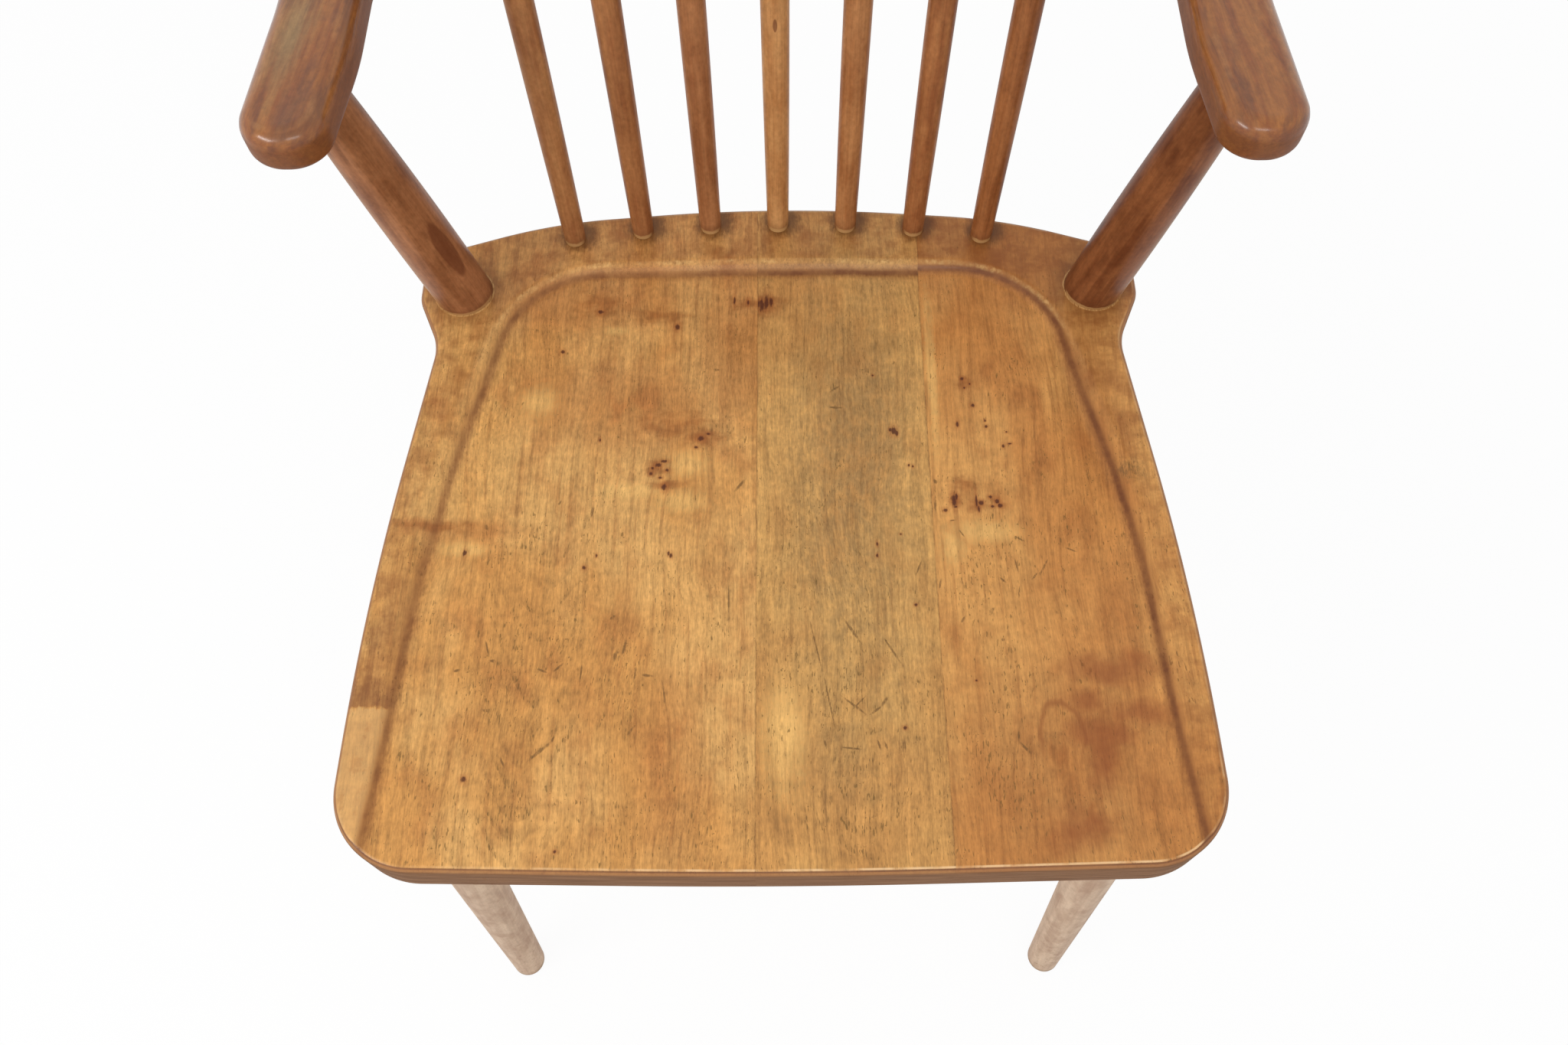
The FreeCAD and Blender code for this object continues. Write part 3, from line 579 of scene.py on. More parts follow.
def seat_finish(name, board, look):
    """Plain-sawn birch under thin old lacquer, worn: tones in clouds, growth
    rings, fibres along y, pores, pin knots, and grime and painted shade in the saddle's groove."""
    material, shader, place = wood(f"seat_{name}")
    seed = look["seed"]
    rim = kept(place, "rim")
    valley = kept(place, "valley")
    drop = kept(place, "drop")
    x, y, z = (place.part(index) for index in range(3))
    wander = place.noise((50, 130, 50), 1.0, seed=seed) - 0.5
    grain = place + wander * (16.0, 0.0, 16.0)
    plan = place * (1.0, 1.0, 0.0)
    mottle = place.noise((2.4, 3.4, 2.4), 2.0, 0.6, seed + 4)
    fibre = grain.noise((1.7, 44, 1.7), 3.0, 0.6, seed + 3)
    fine = grain.noise((0.8, 5, 0.8), 2.0, 0.6, seed + 9)
    ragged = (mottle - 0.5) * 1.6 + (fine - 0.5) * 1.2

    # Tones of the wood, in clouds, with the paler and browner places
    colour = place.noise((60, 110, 60), 3.0, seed=seed + 1).step(0.38, 0.62).blend(
        look["fair"], look["warm"])
    patches = place.noise((20, 32, 20), 3.0, 0.55, seed + 2)
    broad = (nearest(plan, look["broad"]) + (patches - 0.5) * 1.6).step(1.3, 0.4)
    patches = patches.step(0.46, 0.74) * 0.5
    colour = (patches + broad * 0.4 + y.step(250, 440) * 0.3).blend(colour, look["deep"])
    if look["olive"]:
        tinge = (nearest(plan, [(44, 232, 46, 170)]) + (patches - 0.2) * 1.2).step(1.4, 0.1)
        speckle = grain.noise((5, 9, 5), 3.0, 0.7, seed).step(0.3, 0.66)
        colour = (tinge * (speckle * 0.5 + 0.2)).blend(colour, look["olive"])
    pale = (nearest(plan, look["pale"]) + ragged * 0.6).step(1.2, 0.2)
    colour = (pale * 0.6).blend(colour, tone(228, 180, 108))
    swirl = place.noise((9, 6, 9), 2.0, 0.5, seed + 12)
    brown = (nearest(plan, look["brown"]) + (swirl - 0.5) * 2.2).step(1.5, 0.0)
    colour = (brown * 0.72).blend(colour, tone(148, 88, 43))

    # Growth rings, bands and fibres
    curl = place.noise((34, 9, 34), 1.0, seed=seed + 6) - 0.5
    ring = growth_rings(place, x, y, wander, curl, look["heart"], seed) * valley.step(-4, 2)
    band = grain.noise((7, 150, 7), 2.0, 0.5, seed + 14)
    streak = grain.noise((3.2, 90, 3.2), 3.0, 0.55, seed + 17)
    colour = (streak.step(0.48, 0.3) * 0.3).blend(colour, look["deep"])
    shade = (fibre - 0.5) * 0.75 + (fine - 0.5) * 0.85 + (mottle - 0.5) * 0.5 + curl * 0.3
    shade = (shade + (band - 0.5) * 0.36) * look["busy"] + (streak - 0.5) * 0.45
    shade = shade + (swirl - 0.5) * 0.22
    colour = colour * (shade + 1 - ring * (0.34 * look["rings"]))

    # Pores, strokes and pin knots
    dashes = grain.noise((0.9, 4.6, 0.9), 1.0, seed=seed + 7)
    crowd = place.noise((22, 34, 22), 3.0, 0.6, seed + 8).step(0.4, 0.66)
    specks = place.noise((1.3, 1.6, 1.3), 1.0, seed=seed + 10) + crowd * 0.09
    dashes = (dashes + crowd * 0.1 + ring * 0.1 - y / 6000).step(0.7, 0.78)
    dashes = dashes.maths("MAXIMUM", specks.step(0.77, 0.84))
    colour = (dashes * 0.62).blend(colour, tone(100, 78, 40))
    strokes = (nearest(plan, look["strokes"]) + ragged * 0.5).step(1.3, 0.5)
    colour = (strokes * fine.step(0.3, 0.55) * 0.76).blend(colour, tone(100, 72, 40))
    pins = nearest(plan, look["pins"]) + ragged * 0.55
    colour = (pins.step(2.8, 0.6) * 0.4).blend(colour, tone(148, 76, 34))
    colour = (pins.step(1.2, 0.5) * 0.85).blend(colour, tone(74, 34, 20))
    if name == "right":
        colour = right_stain(colour, place, plan, y, seed)

    # The margin outside the saddle, browner toward the rear
    blot = place.noise((15, 11, 15), 3.0, 0.65, seed + 13).step(0.38, 0.68)
    margin = rim.step(3, -4) * (y.step(300, 400) * look["rear"] + blot * 0.42 + patches * 0.3)
    colour = margin.blend(colour, tone(138, 82, 42))
    if name == "right":
        smudge = (nearest(plan, [(214, 243, 12, 8)]) + ragged).step(1.3, 0.2)
        colour = (smudge * fine.step(0.38, 0.55) * 0.7).blend(colour, tone(98, 76, 46))
    if name == "left":
        low = y + (mottle - 0.5) * 5
        colour = left_margin(colour, place, grain, low, valley, blot, seed)
    if name in SIDES:
        foot = nearest(plan, [(SIDES[name] * POST_FOOT[0], POST_FOOT[1], 18.6, 18.4)])
        # A dark ring round the post's foot: a painted contact shadow.
        post_foot_shadow = foot.step(1.7, 1.05) * 0.3
        colour = post_foot_shadow.blend(colour, tone(112, 70, 38))
        bare = foot.step(1.07, 1.03) * fine.step(0.3, 0.6) * 0.6
        colour = bare.blend(colour, tone(214, 170, 110))

    # Grime and painted shade in the saddle's groove, painted shade round the
    # spindles, grime in the glue lines, and the pale crest of the rim at the rear,
    # worn and with a painted highlight
    off_valley, shade_strength, core_strength = look["groove"]
    groove = (valley + off_valley + wander * 3 + ragged * 0.8).maths("ABSOLUTE")
    # A broad dark band and a darker core along the groove: grime and painted shade.
    soft = groove.step(6.0, 0.5) * y.step(-4, 10)
    colour = (soft * shade_strength).blend(colour, tone(134, 82, 44))
    depth = patches * 0.6 + blot * 0.3 + core_strength
    core = groove.step(2.8, 0.4) * y.step(-4, 10) * depth
    colour = core.blend(colour, tone(104, 58, 30))
    # The pale line on the rim's crest at the rear: worn wood and a painted highlight.
    worn_crest_and_highlight = (rim + ragged * 0.9).step(-2.0, 0.2) * rim.step(2.6, 0.6) * drop.step(0.4, 0.1)
    worn_crest_and_highlight = worn_crest_and_highlight * y.step(300, 390) * (blot * mottle.step(0.3, 0.7) * 0.6 + 0.06)
    colour = worn_crest_and_highlight.blend(colour, tone(228, 184, 118))
    # A dark ring round each spindle's foot, set behind it: painted contact shade.
    spindle_foot_shade = nearest(plan - (2.5, 2.0, 0.0), [(*foot, 11.5, 11) for foot in SPINDLE_FEET])
    spindle_foot_shade = (spindle_foot_shade + ragged * 0.25).step(1.5, 0.75) * 0.72
    colour = spindle_foot_shade.blend(colour, tone(92, 56, 28))
    for seam in (LEFT_SEAM, RIGHT_SEAM):
        line = (x - seam).maths("ABSOLUTE").step(0.8, 0.25) * (blot * 0.6 + 0.1)
        colour = (line * fine.step(0.3, 0.55)).blend(colour, tone(98, 66, 36))

    # The rounded edge, worn bare in places and with a painted highlight, the sides and the sawn
    # underside
    side_streaks = place.noise((45, 45, 1.6), 3.0, 0.6, seed + 11).step(0.3, 0.7)
    side = side_streaks.blend(tone(110, 76, 51), tone(142, 104, 74))
    colour = (drop.step(0.25, 0.7) * 0.8).blend(colour, tone(152, 104, 68))
    colour = drop.step(1.6, 3.4).blend(colour, side)
    # A pale line along the top of the rounding, mostly at the front: worn wood and a painted
    # highlight.
    worn = drop.step(0.02, 0.12) * drop.step(0.5, 0.25) * (y.step(80, 10) * 0.7 + 0.3)
    worn = worn * (place.noise((16, 16, 16), 3.0, 0.6, seed + 16).step(0.36, 0.62) * 0.7 + 0.1)
    worn = worn * (x.step(-230, 20) * 0.8 + 0.2)
    colour = worn.blend(colour, tone(236, 196, 146))
    rubbed = drop.step(0.3, 0.5) * drop.step(1.2, 0.7) * (y.step(60, 12) * 0.6 + 0.1)
    rubbed = rubbed + drop.step(32, 35) * 0.5
    colour = (rubbed * (side_streaks * -0.4 + 1)).blend(colour, tone(92, 52, 34))
    sawn = place.noise((40, 3, 40), 2.0, 0.6, seed)
    colour = z.step(SEAT_BOTTOM + 2.2, SEAT_BOTTOM).blend(colour, sawn.blend(
        tone(186, 144, 98), tone(206, 168, 122)) * (fibre * 0.4 + 0.8))

    roughness = mottle * 0.12 + patches * 0.1 + dashes * 0.2 + drop.step(1.0, 3.4) * 0.4 + 0.34
    relief = fibre * 0.05 + fine * 0.03 - dashes * 0.06 + pins.step(0.5, 1.2) * 0.1 + curl * 0.1
    lacquered(shader, colour, roughness, relief, 0.22, drop.step(3.4, 1.0) * 0.1)
    board.data.materials.append(material)


for name, board in seat_boards.items():
    seat_finish(name, board, BOARDS[name])

# Legs. Four legs turned from birch, slimmer toward the foot, with a tenon in
# the seat's underside. They splay outward, and lean forward and back.

# x and setback of the foot and of the top, and radii at the foot, part of the
# way up and at the top
LEG_ENDS = {"front": ((216.8, 21.8), (201.8, 52.2)), "rear": ((193, 453.4), (166, 387.4))}
LEG_RADII = (12.8, 16.1, 18)
LEG_MIDDLE = 250
LEG_CHAMFER = 1.2


def turned(name, node, slot, foot, top, radii, middle, chamfer=0.0):
    """A turned piece between two level planes: circles about the line from
    foot to top. At a share h of its length their radius is the blend of the
    first and last radii plus b * h * (1 - h), with b such that at the length
    middle it is the second radius."""
    foot = np.array(foot, float)
    top = np.array(top, float)
    length = np.linalg.norm(top - foot)
    axis = (top - foot) / length
    side = np.cross(axis, [0, 1, 0])
    side /= np.linalg.norm(side)
    front_side = np.cross(axis, side)
    turn = np.linspace(0, 2 * math.pi, 65)[None, :, None]
    spoke = side * np.cos(turn) + front_side * np.sin(turn)
    share = middle / length
    belly = (radii[1] - radii[0] - (radii[2] - radii[0]) * share) / (share * (1 - share))

    def points(height, shrink=0.0):
        part = height / length
        radius = radii[0] + (radii[2] - radii[0]) * part + belly * part * (1 - part)
        return foot + axis * height[..., None] + spoke * (radius - shrink)[..., None]

    start = -radii[0] * spoke[..., 2] / axis[2]
    end = length - radii[2] * spoke[..., 2] / axis[2]
    rise = np.linspace(0, 1, 64)[:, None]
    sheet = points(start + chamfer + (end - start - chamfer) * rise)
    if chamfer:
        sheet = np.vstack([points(start, chamfer), sheet])
    sheet[0, :, 2] = foot[2]
    sheet[-1, :, 2] = top[2]
    sheet[:, -1] = sheet[:, 0]
    made = piece(name, node, slot, [sheet], [sheet[0, :-1], sheet[-1, :-1]])
    spots = places(made) - foot
    mark(made, "grain", np.column_stack([spots @ side, spots @ front_side, spots @ axis]))
    return made


def turned_finish(name, fair, deep, seed, wear=0.0, stain=None, outer=0):
    """Straight-grained birch round a line: rings 2.6 mm apart about a heart
    31 mm off the axis, fibres along it and clouds of stain. With wear it is
    bare, blotched and scuffed at the foot, and without it darker at both ends
    by painted shade, with a painted highlight at the front of its foot. A stain
    is an oval (x, y, height, half width, half length), and outer the side, -1
    or 1, that gets a pale painted highlight."""
    material, shader, place = wood(name)
    grain = kept(place, "grain", 1)
    z = place.part(2)
    off = (grain + (30.0, 8.0, 0.0)) * (1.0, 1.0, 0.03)
    ring = ((off + (grain.noise((9, 9, 120), 1.0, seed=seed) - 0.5) * 5).maths("LENGTH") / 2.6
            ).maths("FRACT").step(0.45, 0.95)
    fibre = grain.noise((1.0, 1.0, 30), 3.0, 0.6, seed + 1)
    streak = grain.noise((5, 5, 90), 2.0, 0.5, seed + 2)
    cloud = grain.noise((14, 14, 34), 3.0, 0.6, seed + 3)
    colour = (streak.step(0.36, 0.66) * 0.5 + cloud.step(0.36, 0.66) * 0.6).blend(fair, deep)
    mottle = grain.noise((2.4, 2.4, 3.4), 2.0, 0.6, seed + 4)
    # A pale band down the outer side of the post: a painted highlight.
    if outer:
        pale = (grain.part(0) * outer).step(-6, -17) * cloud.step(0.3, 0.6)
        colour = (pale * 0.7).blend(colour, tone(190, 142, 92))
    vivid = 0.55 if wear else 1.0
    grey = (fibre - 0.5) * 0.45 + (mottle - 0.5) * 0.6 - ring * 0.05
    colour = colour * (grey * vivid + 1)
    if stain:
        x, y, height, half_width, half_length = stain
        gap = ((grain - (x, y, height)) / (half_width, half_width, half_length)).maths("LENGTH")
        gap = gap + (cloud - 0.5) * 0.5
        colour = (gap.step(1.1, 0.85) * 0.66).blend(colour, tone(98, 52, 34))
    if wear:
        blotch = place.noise((14, 14, 26), 3.0, 0.55, seed + 5)
        colour = (blotch.step(0.46, 0.66) * wear).blend(colour, tone(156, 120, 95))
        chips = place.noise((3, 3, 5), 2.0, 0.6, seed + 6).step(0.62, 0.7) * z.step(190, 20)
        colour = (chips * 0.5).blend(colour, tone(132, 96, 70))
        colour = ((z + (blotch - 0.5) * 10).step(9, 1) * 0.55).blend(colour, tone(128, 100, 66))
    else:
        # Darker at both ends, where it meets the seat and the bow: painted shade.
        low = (z - SEAT_TOP + (cloud - 0.5) * 6).step(8, 0)
        high = (z - BOW_BOTTOM + (cloud - 0.5) * 6).step(-6, 0)
        colour = ((low + high) * 0.45).blend(colour, tone(96, 56, 32))
        # A pale crescent at the front of the foot: a painted highlight.
        foot_highlight = (z - SEAT_TOP + (mottle - 0.5) * 1.5).step(2.8, 1.6) * grain.part(1).step(2, 6)
        colour = (foot_highlight * 0.6).blend(colour, tone(196, 152, 98))
    roughness = cloud * 0.12 + (0.5 if wear else 0.34)
    relief = fibre * 0.02 + streak * 0.05
    lacquered(shader, colour, roughness, relief, 0.14, None if wear else cloud * 0.1)
    return material


leg_wood = turned_finish("leg_birch", tone(208, 180, 153), tone(182, 152, 128), 11, 0.4)
for end, (foot, top) in LEG_ENDS.items():
    for side, sign in SIDES.items():
        leg = turned(f"turned_leg_{end}_{side}", f"leg_{end}_{side}", "leg_wood",
                     (sign * foot[0], foot[1], 0), (sign * top[0], top[1], SEAT_BOTTOM),
                     LEG_RADII, LEG_MIDDLE, LEG_CHAMFER)
        leg.data.materials.append(leg_wood)

# Arm posts. Two thick posts turned from birch, stained reddish brown, lean
# outward from the rear ears of the seat and carry the arms on their tenons.

BOW_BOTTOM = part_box("bow_back")[0].z / MM
BOW_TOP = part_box("bow_back")[1].z / MM
POST_TOP = (240, 365.5)
POST_RADII = (18.25, 17.3, 14.15)
POST_MIDDLE = 100
POST_STAIN = (-16.0, 10.5, 62, 5.8, 27)
for side, sign in SIDES.items():
    post = turned(f"turned_post_{side}", f"arm_post_{side}", "turned_wood",
                  (sign * POST_FOOT[0], POST_FOOT[1], SEAT_TOP),
                  (sign * POST_TOP[0], POST_TOP[1], BOW_BOTTOM), POST_RADII, POST_MIDDLE)
    if side == "left":
        fair, deep, stain = tone(164, 111, 75), tone(128, 81, 52), POST_STAIN
    else:
        fair, deep, stain = tone(139, 87, 54), tone(102, 58, 35), None
    post.data.materials.append(turned_finish(
        f"post_birch_{side}", fair, deep, 17 + sign, stain=stain, outer=sign))

# Spindles. Seven slim sticks turned from birch fan out from the rear margin of
# the seat to the bow. They thicken toward the top, and each has its own shade.

BOW_LINE = 493.9
BOW_RADIUS = 1125
SPINDLE_FAN = 1.117
SPINDLE_RADII = (7.1, 8.6, 9)
SPINDLE_MIDDLE = 130
MIDDLE_KNOT = (0, 8.5, 143, 1.3, 4)


def bow_line(x):
    """Setback of the middle line of the bow's rear: a circle."""
    return BOW_LINE - BOW_RADIUS + np.sqrt(BOW_RADIUS ** 2 - x ** 2)


SHADES = [(tone(172, 120, 76), tone(146, 94, 58)), (tone(166, 112, 70), tone(138, 86, 52)),
          (tone(168, 114, 74), tone(140, 88, 54)), (tone(194, 142, 90), tone(168, 114, 68)),
          (tone(174, 120, 76), tone(146, 92, 54)), (tone(170, 114, 70), tone(138, 84, 50)),
          (tone(156, 100, 60), tone(128, 76, 42))]
for index, ((x, y), (fair, deep)) in enumerate(zip(SPINDLE_FEET, SHADES), 1):
    top_x = x * SPINDLE_FAN
    spindle = turned(f"turned_spindle_{index}", f"spindle_{index}", "turned_wood",
                     (x, y, SEAT_TOP), (top_x, bow_line(top_x), BOW_BOTTOM),
                     SPINDLE_RADII, SPINDLE_MIDDLE)
    spindle.data.materials.append(turned_finish(
        f"spindle_birch_{index}", fair, deep, 30 + 5 * index,
        stain=MIDDLE_KNOT if index == 4 else None))

# Arm bow. Two arms with paddle ends and a bowed back, sawn from 25 mm birch,
# meet at dowelled butt joints. The upper edge is rounded more than the lower.

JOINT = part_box("bow_back")[1].x / MM
BOW_HALF_WIDTH = 22
BOW_ROUNDING = (9.5, 7)
# Corners (x, setback, radius) of the right half of the outline
TIP_INNER = (222, 305.5, 21)
TIP_OUTER = (266, 305.5, 21)
BOW_HALF = [(0, 477.4, 1103), (214.5, 455.95, 40), (214.5, 375, 250), TIP_INNER, TIP_OUTER,
            (258.5, 400, 250), (258.5, 495.8, 84), (0, 521.6, 1147)]


def bow_height(x, y):
    """The upper face of the bow: level."""
    return np.full(np.shape(x), BOW_TOP)


bow_loop = outline(BOW_HALF)
joint_front = (JOINT, bow_line(JOINT) - BOW_HALF_WIDTH)
joint_rear = (JOINT, bow_line(JOINT) + BOW_HALF_WIDTH)
inner = ended(stretch(bow_loop, joint_front, TIP_INNER), JOINT)
tip = stretch(bow_loop, TIP_INNER, TIP_OUTER)
outer = ended(stretch(bow_loop, TIP_OUTER, joint_rear)[::-1], JOINT)
sheets, faces = plank((inner, tip, outer, cut(inner[0], outer[0])), ("west",), bow_height,
                      BOW_BOTTOM, BOW_ROUNDING, (150, 30), 6)


def arm_finish(name, seed, pale=None, dark=None):
    """Birch stained brown: streaks and fibres along the grain, reddish smears
    and polished, rubbed edges with a painted highlight, and sides that darken
    downward by painted shade. A pale, greenish and a dark mark are ovals:
    across, height and along the grain, and their half sizes."""
    material, shader, place = wood(name)
    grain = kept(place, "grain", 1)
    bent = grain + (grain.noise((40, 40, 110), 1.0, seed=seed) - 0.5) * (22.0, 22.0, 0.0)
    fibre = bent.noise((0.9, 0.9, 28), 3.0, 0.6, seed + 1)
    streak = bent.noise((4.5, 4.5, 60), 3.0, 0.55, seed + 2)
    smear = bent.noise((9, 9, 42), 3.0, 0.6, seed + 3)
    cloud = grain.noise((20, 20, 30), 3.0, 0.6, seed + 4)
    mottle = grain.noise((2.4, 2.4, 3.4), 2.0, 0.6, seed + 5)
    colour = streak.step(0.34, 0.68).blend(tone(154, 97, 50), tone(132, 76, 40))
    colour = (smear.step(0.48, 0.64) * 0.62).blend(colour, tone(104, 63, 44))
    colour = (cloud.step(0.5, 0.7) * 0.35).blend(colour, tone(158, 107, 62))
    drop = kept(place, "drop")
    for oval, oval_tone in ((pale, tone(146, 124, 84)), (dark, tone(102, 66, 50))):
        if oval:
            gap = ((grain - oval[:3]) / oval[3:]).maths("LENGTH") + (streak - 0.5) * 1.4
            colour = (gap.step(1.2, 0.1) * 0.6).blend(colour, oval_tone)
    patchy = (cloud + (mottle - 0.5) * 0.6).step(0.44, 0.6)
    # A pale line where the top rounds over: worn wood and a painted highlight.
    worn = drop.step(0.04, 0.2) * drop.step(1.3, 0.5) * cloud.step(0.4, 0.6) * 0.22
    colour = worn.blend(colour, tone(178, 128, 82))
    grime = drop.step(0.8, 1.4) * drop.step(4.4, 2.4) * patchy
    colour = (grime * 0.25).blend(colour, tone(88, 58, 38))
    # The sides and the end darken from 2 to 12 mm below the top: painted shade.
    colour = (drop.step(2, 12) * 0.75).blend(colour, tone(112, 66, 36))
    colour = colour * ((fibre - 0.5) * 0.5 + (mottle - 0.5) * 0.6 + 1)
    roughness = cloud * 0.12 + drop.step(5, 10) * 0.3 + 0.2
    coat = drop.step(10, 5) * 0.3 + 0.04
    lacquered(shader, colour, roughness, fibre * 0.015 + smear * 0.03, 0.3, coat)
    return material


def lay_grain(made, along, drop):
    """Marks the grain of a sawn piece, straight along one direction in plan,
    and how far each point lies below the upper face."""
    spots = places(made)
    along = np.array(along, float) / np.linalg.norm(along)
    across = np.array([along[1], -along[0], 0])
    mark(made, "grain", np.column_stack([spots @ across, spots[:, 2], spots @ along]))
    mark(made, "drop", drop)


ARM_MARKS = {"left": ((-287, BOW_TOP, 342, 11, 6, 46), (-276, BOW_TOP, 290, 6, 6, 26)),
             "right": (None, (263, BOW_TOP, 274, 8, 6, 22))}
for side, sign in SIDES.items():
    flip = np.array([sign, 1, 1])
    arm = piece(f"sawn_arm_{side}", f"arm_{side}", "arm_wood", [sheet * flip for sheet in sheets],
                [face * flip for face in faces])
    lay_grain(arm, (-sign * 0.12, 1, 0), BOW_TOP - places(arm)[:, 2])
    arm.data.materials.append(arm_finish(f"arm_birch_{side}", 60 + sign, *ARM_MARKS[side]))

front_run = ended(stretch(bow_loop, (-joint_front[0], joint_front[1]), joint_front), -JOINT, JOINT)
rear_run = ended(stretch(bow_loop, joint_rear, (-joint_rear[0], joint_rear[1]))[::-1],
                 -JOINT, JOINT)
bow_sides = (front_run, cut(front_run[-1], rear_run[-1]), rear_run, cut(front_run[0], rear_run[0]))
bow_back = piece("sawn_back", "bow_back", "arm_wood",
                 *plank(bow_sides, ("east", "west"), bow_height, BOW_BOTTOM, BOW_ROUNDING,
                        (150, 28)))
lay_grain(bow_back, (1, 0, 0), BOW_TOP - places(bow_back)[:, 2])
bow_back.data.materials.append(arm_finish("back_birch", 70))

# Crest rail. A 23 mm birch rail, sawn to a low arch with dipped shoulders and
# bent to the bow's curve, stands on the bow and leans back by 13 degrees.

CREST_HALF_LENGTH = 175
CREST_HALF_THICKNESS = 11.5
CREST_ROUNDING = (4, 4)
CREST_SETBACK = 3
CREST_LEAN = math.radians(13)
# Corners (x, height, radius) of the right half of the flat rail's outline
CREST_HALF = [(0, 0, 0.01), (CREST_HALF_LENGTH, 0, 0.01), (CREST_HALF_LENGTH, 9, 3),
              (150, 15, 45), (108, 61, 55), (0, 66, 1166)]


def crest_face(x, y):
    """The rail's rear face before it is bent: flat."""
    return np.full(np.shape(x), float(CREST_HALF_THICKNESS))


def bent(points):
    """The flat rail (x, height, thickness) bent to the bow's curve and leaned back."""
    x, height, depth = points[..., 0], points[..., 1], points[..., 2]
    turn = x / BOW_RADIUS
    reach = BOW_RADIUS + depth
    setback = BOW_LINE + CREST_SETBACK - BOW_RADIUS + reach * np.sqrt(1 - turn ** 2)
    return np.stack([reach * turn, setback + height * math.tan(CREST_LEAN), BOW_TOP + height],
                    axis=-1)


crest_loop = outline(CREST_HALF)
foot_right = (CREST_HALF_LENGTH, 0)
foot_left = (-CREST_HALF_LENGTH, 0)
shoulder = (CREST_HALF_LENGTH, 8)
right_end = stretch(crest_loop, foot_right, shoulder)
arch = stretch(crest_loop, shoulder, (-shoulder[0], shoulder[1]))[::-1]
crest_sides = (cut(foot_left, foot_right), right_end, arch, mirrored(right_end))
sheets, faces = plank(crest_sides, ("south",), crest_face, -CREST_HALF_THICKNESS, CREST_ROUNDING,
                      (180, 34))
crest = piece("sawn_crest", "crest_rail", "arm_wood", [bent(sheet) for sheet in sheets],
              [bent(face) for face in faces])
spots = places(crest)
mark(crest, "grain", spots[:, [2, 1, 0]])
mark(crest, "drop", np.zeros(len(spots)))
crest.data.materials.append(arm_finish("crest_birch", 80))

# Dowels. Eight plain, bare beech dowels hold the bow's joints and the crest
# rail. They are hidden in the wood and keep their own solids.

dowel_wood, shader, place = wood("dowel_beech")
flecks = place.noise((1.2, 1.2, 3), 2.0, 0.6, 91)
pores = place.noise((6, 6, 6), 3.0, 0.6, 92)
colour = flecks.step(0.4, 0.7).blend(tone(214, 178, 134), tone(188, 144, 100))
lacquered(shader, colour * (pores * 0.3 + 0.85), flecks * 0.1 + 0.55, flecks * 0.03, 0.3)
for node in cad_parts:
    if "dowel" in node:
        made = bpy.data.objects[node]
        made.data.materials.clear()
        made.data.materials.append(dowel_wood)

# Studio. A white floor and a white surround, lit by the surround and two soft
# lamps, and the camera above the front of the seat, looking down at it.


def white_to(rays):
    """1 for the rays that see the surround itself: from the camera, or by way
    of a gloss or a clear part."""
    seen = Field(rays.outputs["Is Camera Ray"])
    for name in ("Is Glossy Ray", "Is Transmission Ray"):
        seen = seen.maths("MAXIMUM", Field(rays.outputs[name]))
    return seen


mesh = bpy.data.meshes.new("floor")
mesh.from_pydata([(-6, -6, 0), (6, -6, 0), (6, 6, 0), (-6, 6, 0)], [], [(0, 1, 2, 3)])
floor = bpy.data.objects.new("floor", mesh)
bpy.context.scene.collection.objects.link(floor)
material = bpy.data.materials.new("floor")
material.use_nodes = True
nodes, links = material.node_tree.nodes, material.node_tree.links
nodes.remove(nodes["Principled BSDF"])
white = nodes.new("ShaderNodeBsdfDiffuse")
white.inputs["Color"].default_value = (0.92, 0.92, 0.92, 1)
glow = nodes.new("ShaderNodeEmission")
glow.inputs["Color"].default_value = (1, 1, 1, 1)
glow.inputs["Strength"].default_value = 1.0
rays = nodes.new("ShaderNodeLightPath")
seen = white_to(rays)
mixed = seen.node("MixShader", {0: seen * 0.93, 1: Field(white.outputs[0]),
                                2: Field(glow.outputs[0])})
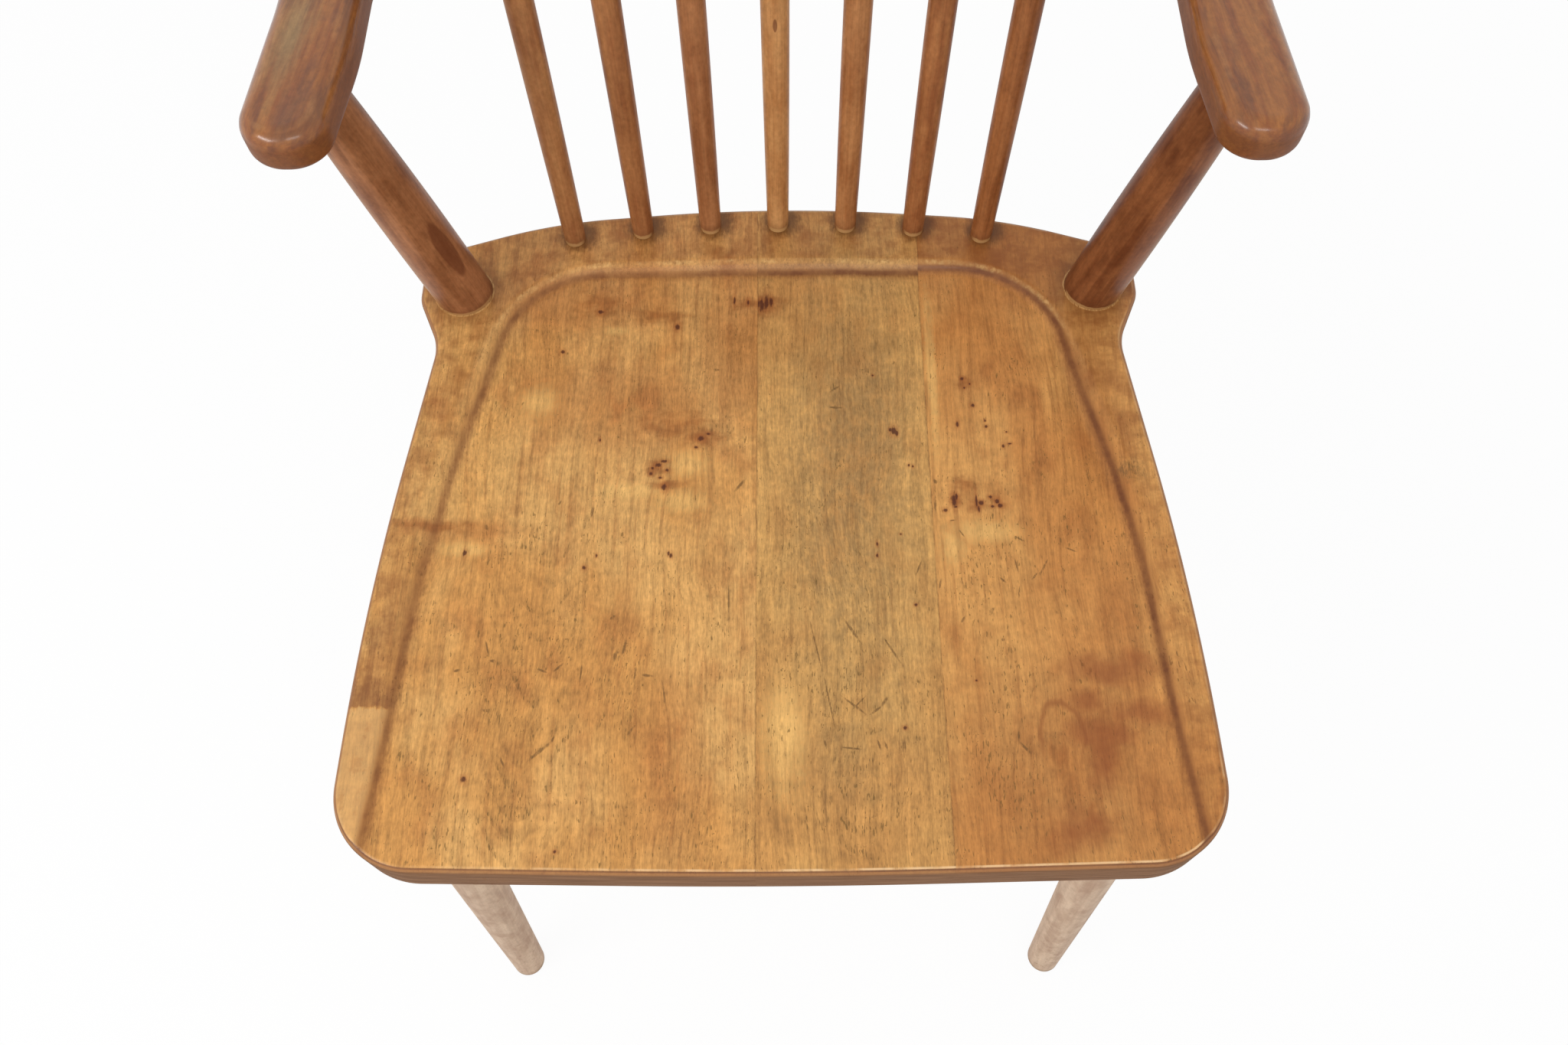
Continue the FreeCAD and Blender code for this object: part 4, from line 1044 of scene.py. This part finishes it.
links.new(mixed.socket, nodes["Material Output"].inputs["Surface"])
mesh.materials.append(material)

world = bpy.data.worlds.new("studio")
bpy.context.scene.world = world
world.use_nodes = True
nodes, links = world.node_tree.nodes, world.node_tree.links
backdrop = nodes["Background"]
rays = nodes.new("ShaderNodeLightPath")
backdrop.inputs["Color"].default_value = (1, 1, 1, 1)
links.new((white_to(rays) * 0.25 + 0.75).socket, backdrop.inputs["Strength"])


def softbox(name, spot, aim, size, power):
    """A soft lamp, level and of a width and a height, that faces a point."""
    lamp = bpy.data.objects.new(name, bpy.data.lights.new(name, "AREA"))
    lamp.data.shape = "RECTANGLE"
    lamp.data.size, lamp.data.size_y = size
    lamp.data.energy = power
    lamp.location = spot
    ahead = mathutils.Vector(aim) - lamp.location
    lamp.rotation_euler = ahead.to_track_quat("-Z", "Y").to_euler()
    bpy.context.scene.collection.objects.link(lamp)


softbox("left_lamp", (-1.16, -0.83, 1.5), (0, 0, 0.45), (0.9, 0.25), 9)
softbox("front_lamp", (0.2, -1.1, 1.73), (0, 0, 0.45), (0.9, 0.25), 4)

CAMERA_SPOT = (0.0062, -0.4033, 1.1476)
TILT, YAW, ROLL = (math.radians(angle) for angle in (63.41, -0.55, -0.97))
LENS_PIXELS = 1700
PHOTO_WIDTH = 2048
SENSOR_WIDTH = 36
camera = bpy.data.objects.new("camera", bpy.data.cameras.new("camera"))
camera.data.sensor_width = SENSOR_WIDTH
camera.data.lens = SENSOR_WIDTH * LENS_PIXELS / PHOTO_WIDTH
camera.location = CAMERA_SPOT
ahead = mathutils.Vector((math.sin(YAW) * math.cos(TILT), math.cos(YAW) * math.cos(TILT),
                          -math.sin(TILT)))
level = mathutils.Vector((math.cos(YAW), -math.sin(YAW), 0))
right = math.cos(ROLL) * level + math.sin(ROLL) * level.cross(ahead)
camera.rotation_euler = mathutils.Matrix((right, right.cross(ahead), -ahead)).transposed().to_euler()
bpy.context.scene.collection.objects.link(camera)
bpy.context.scene.camera = camera
bpy.context.scene.view_settings.view_transform = "Standard"
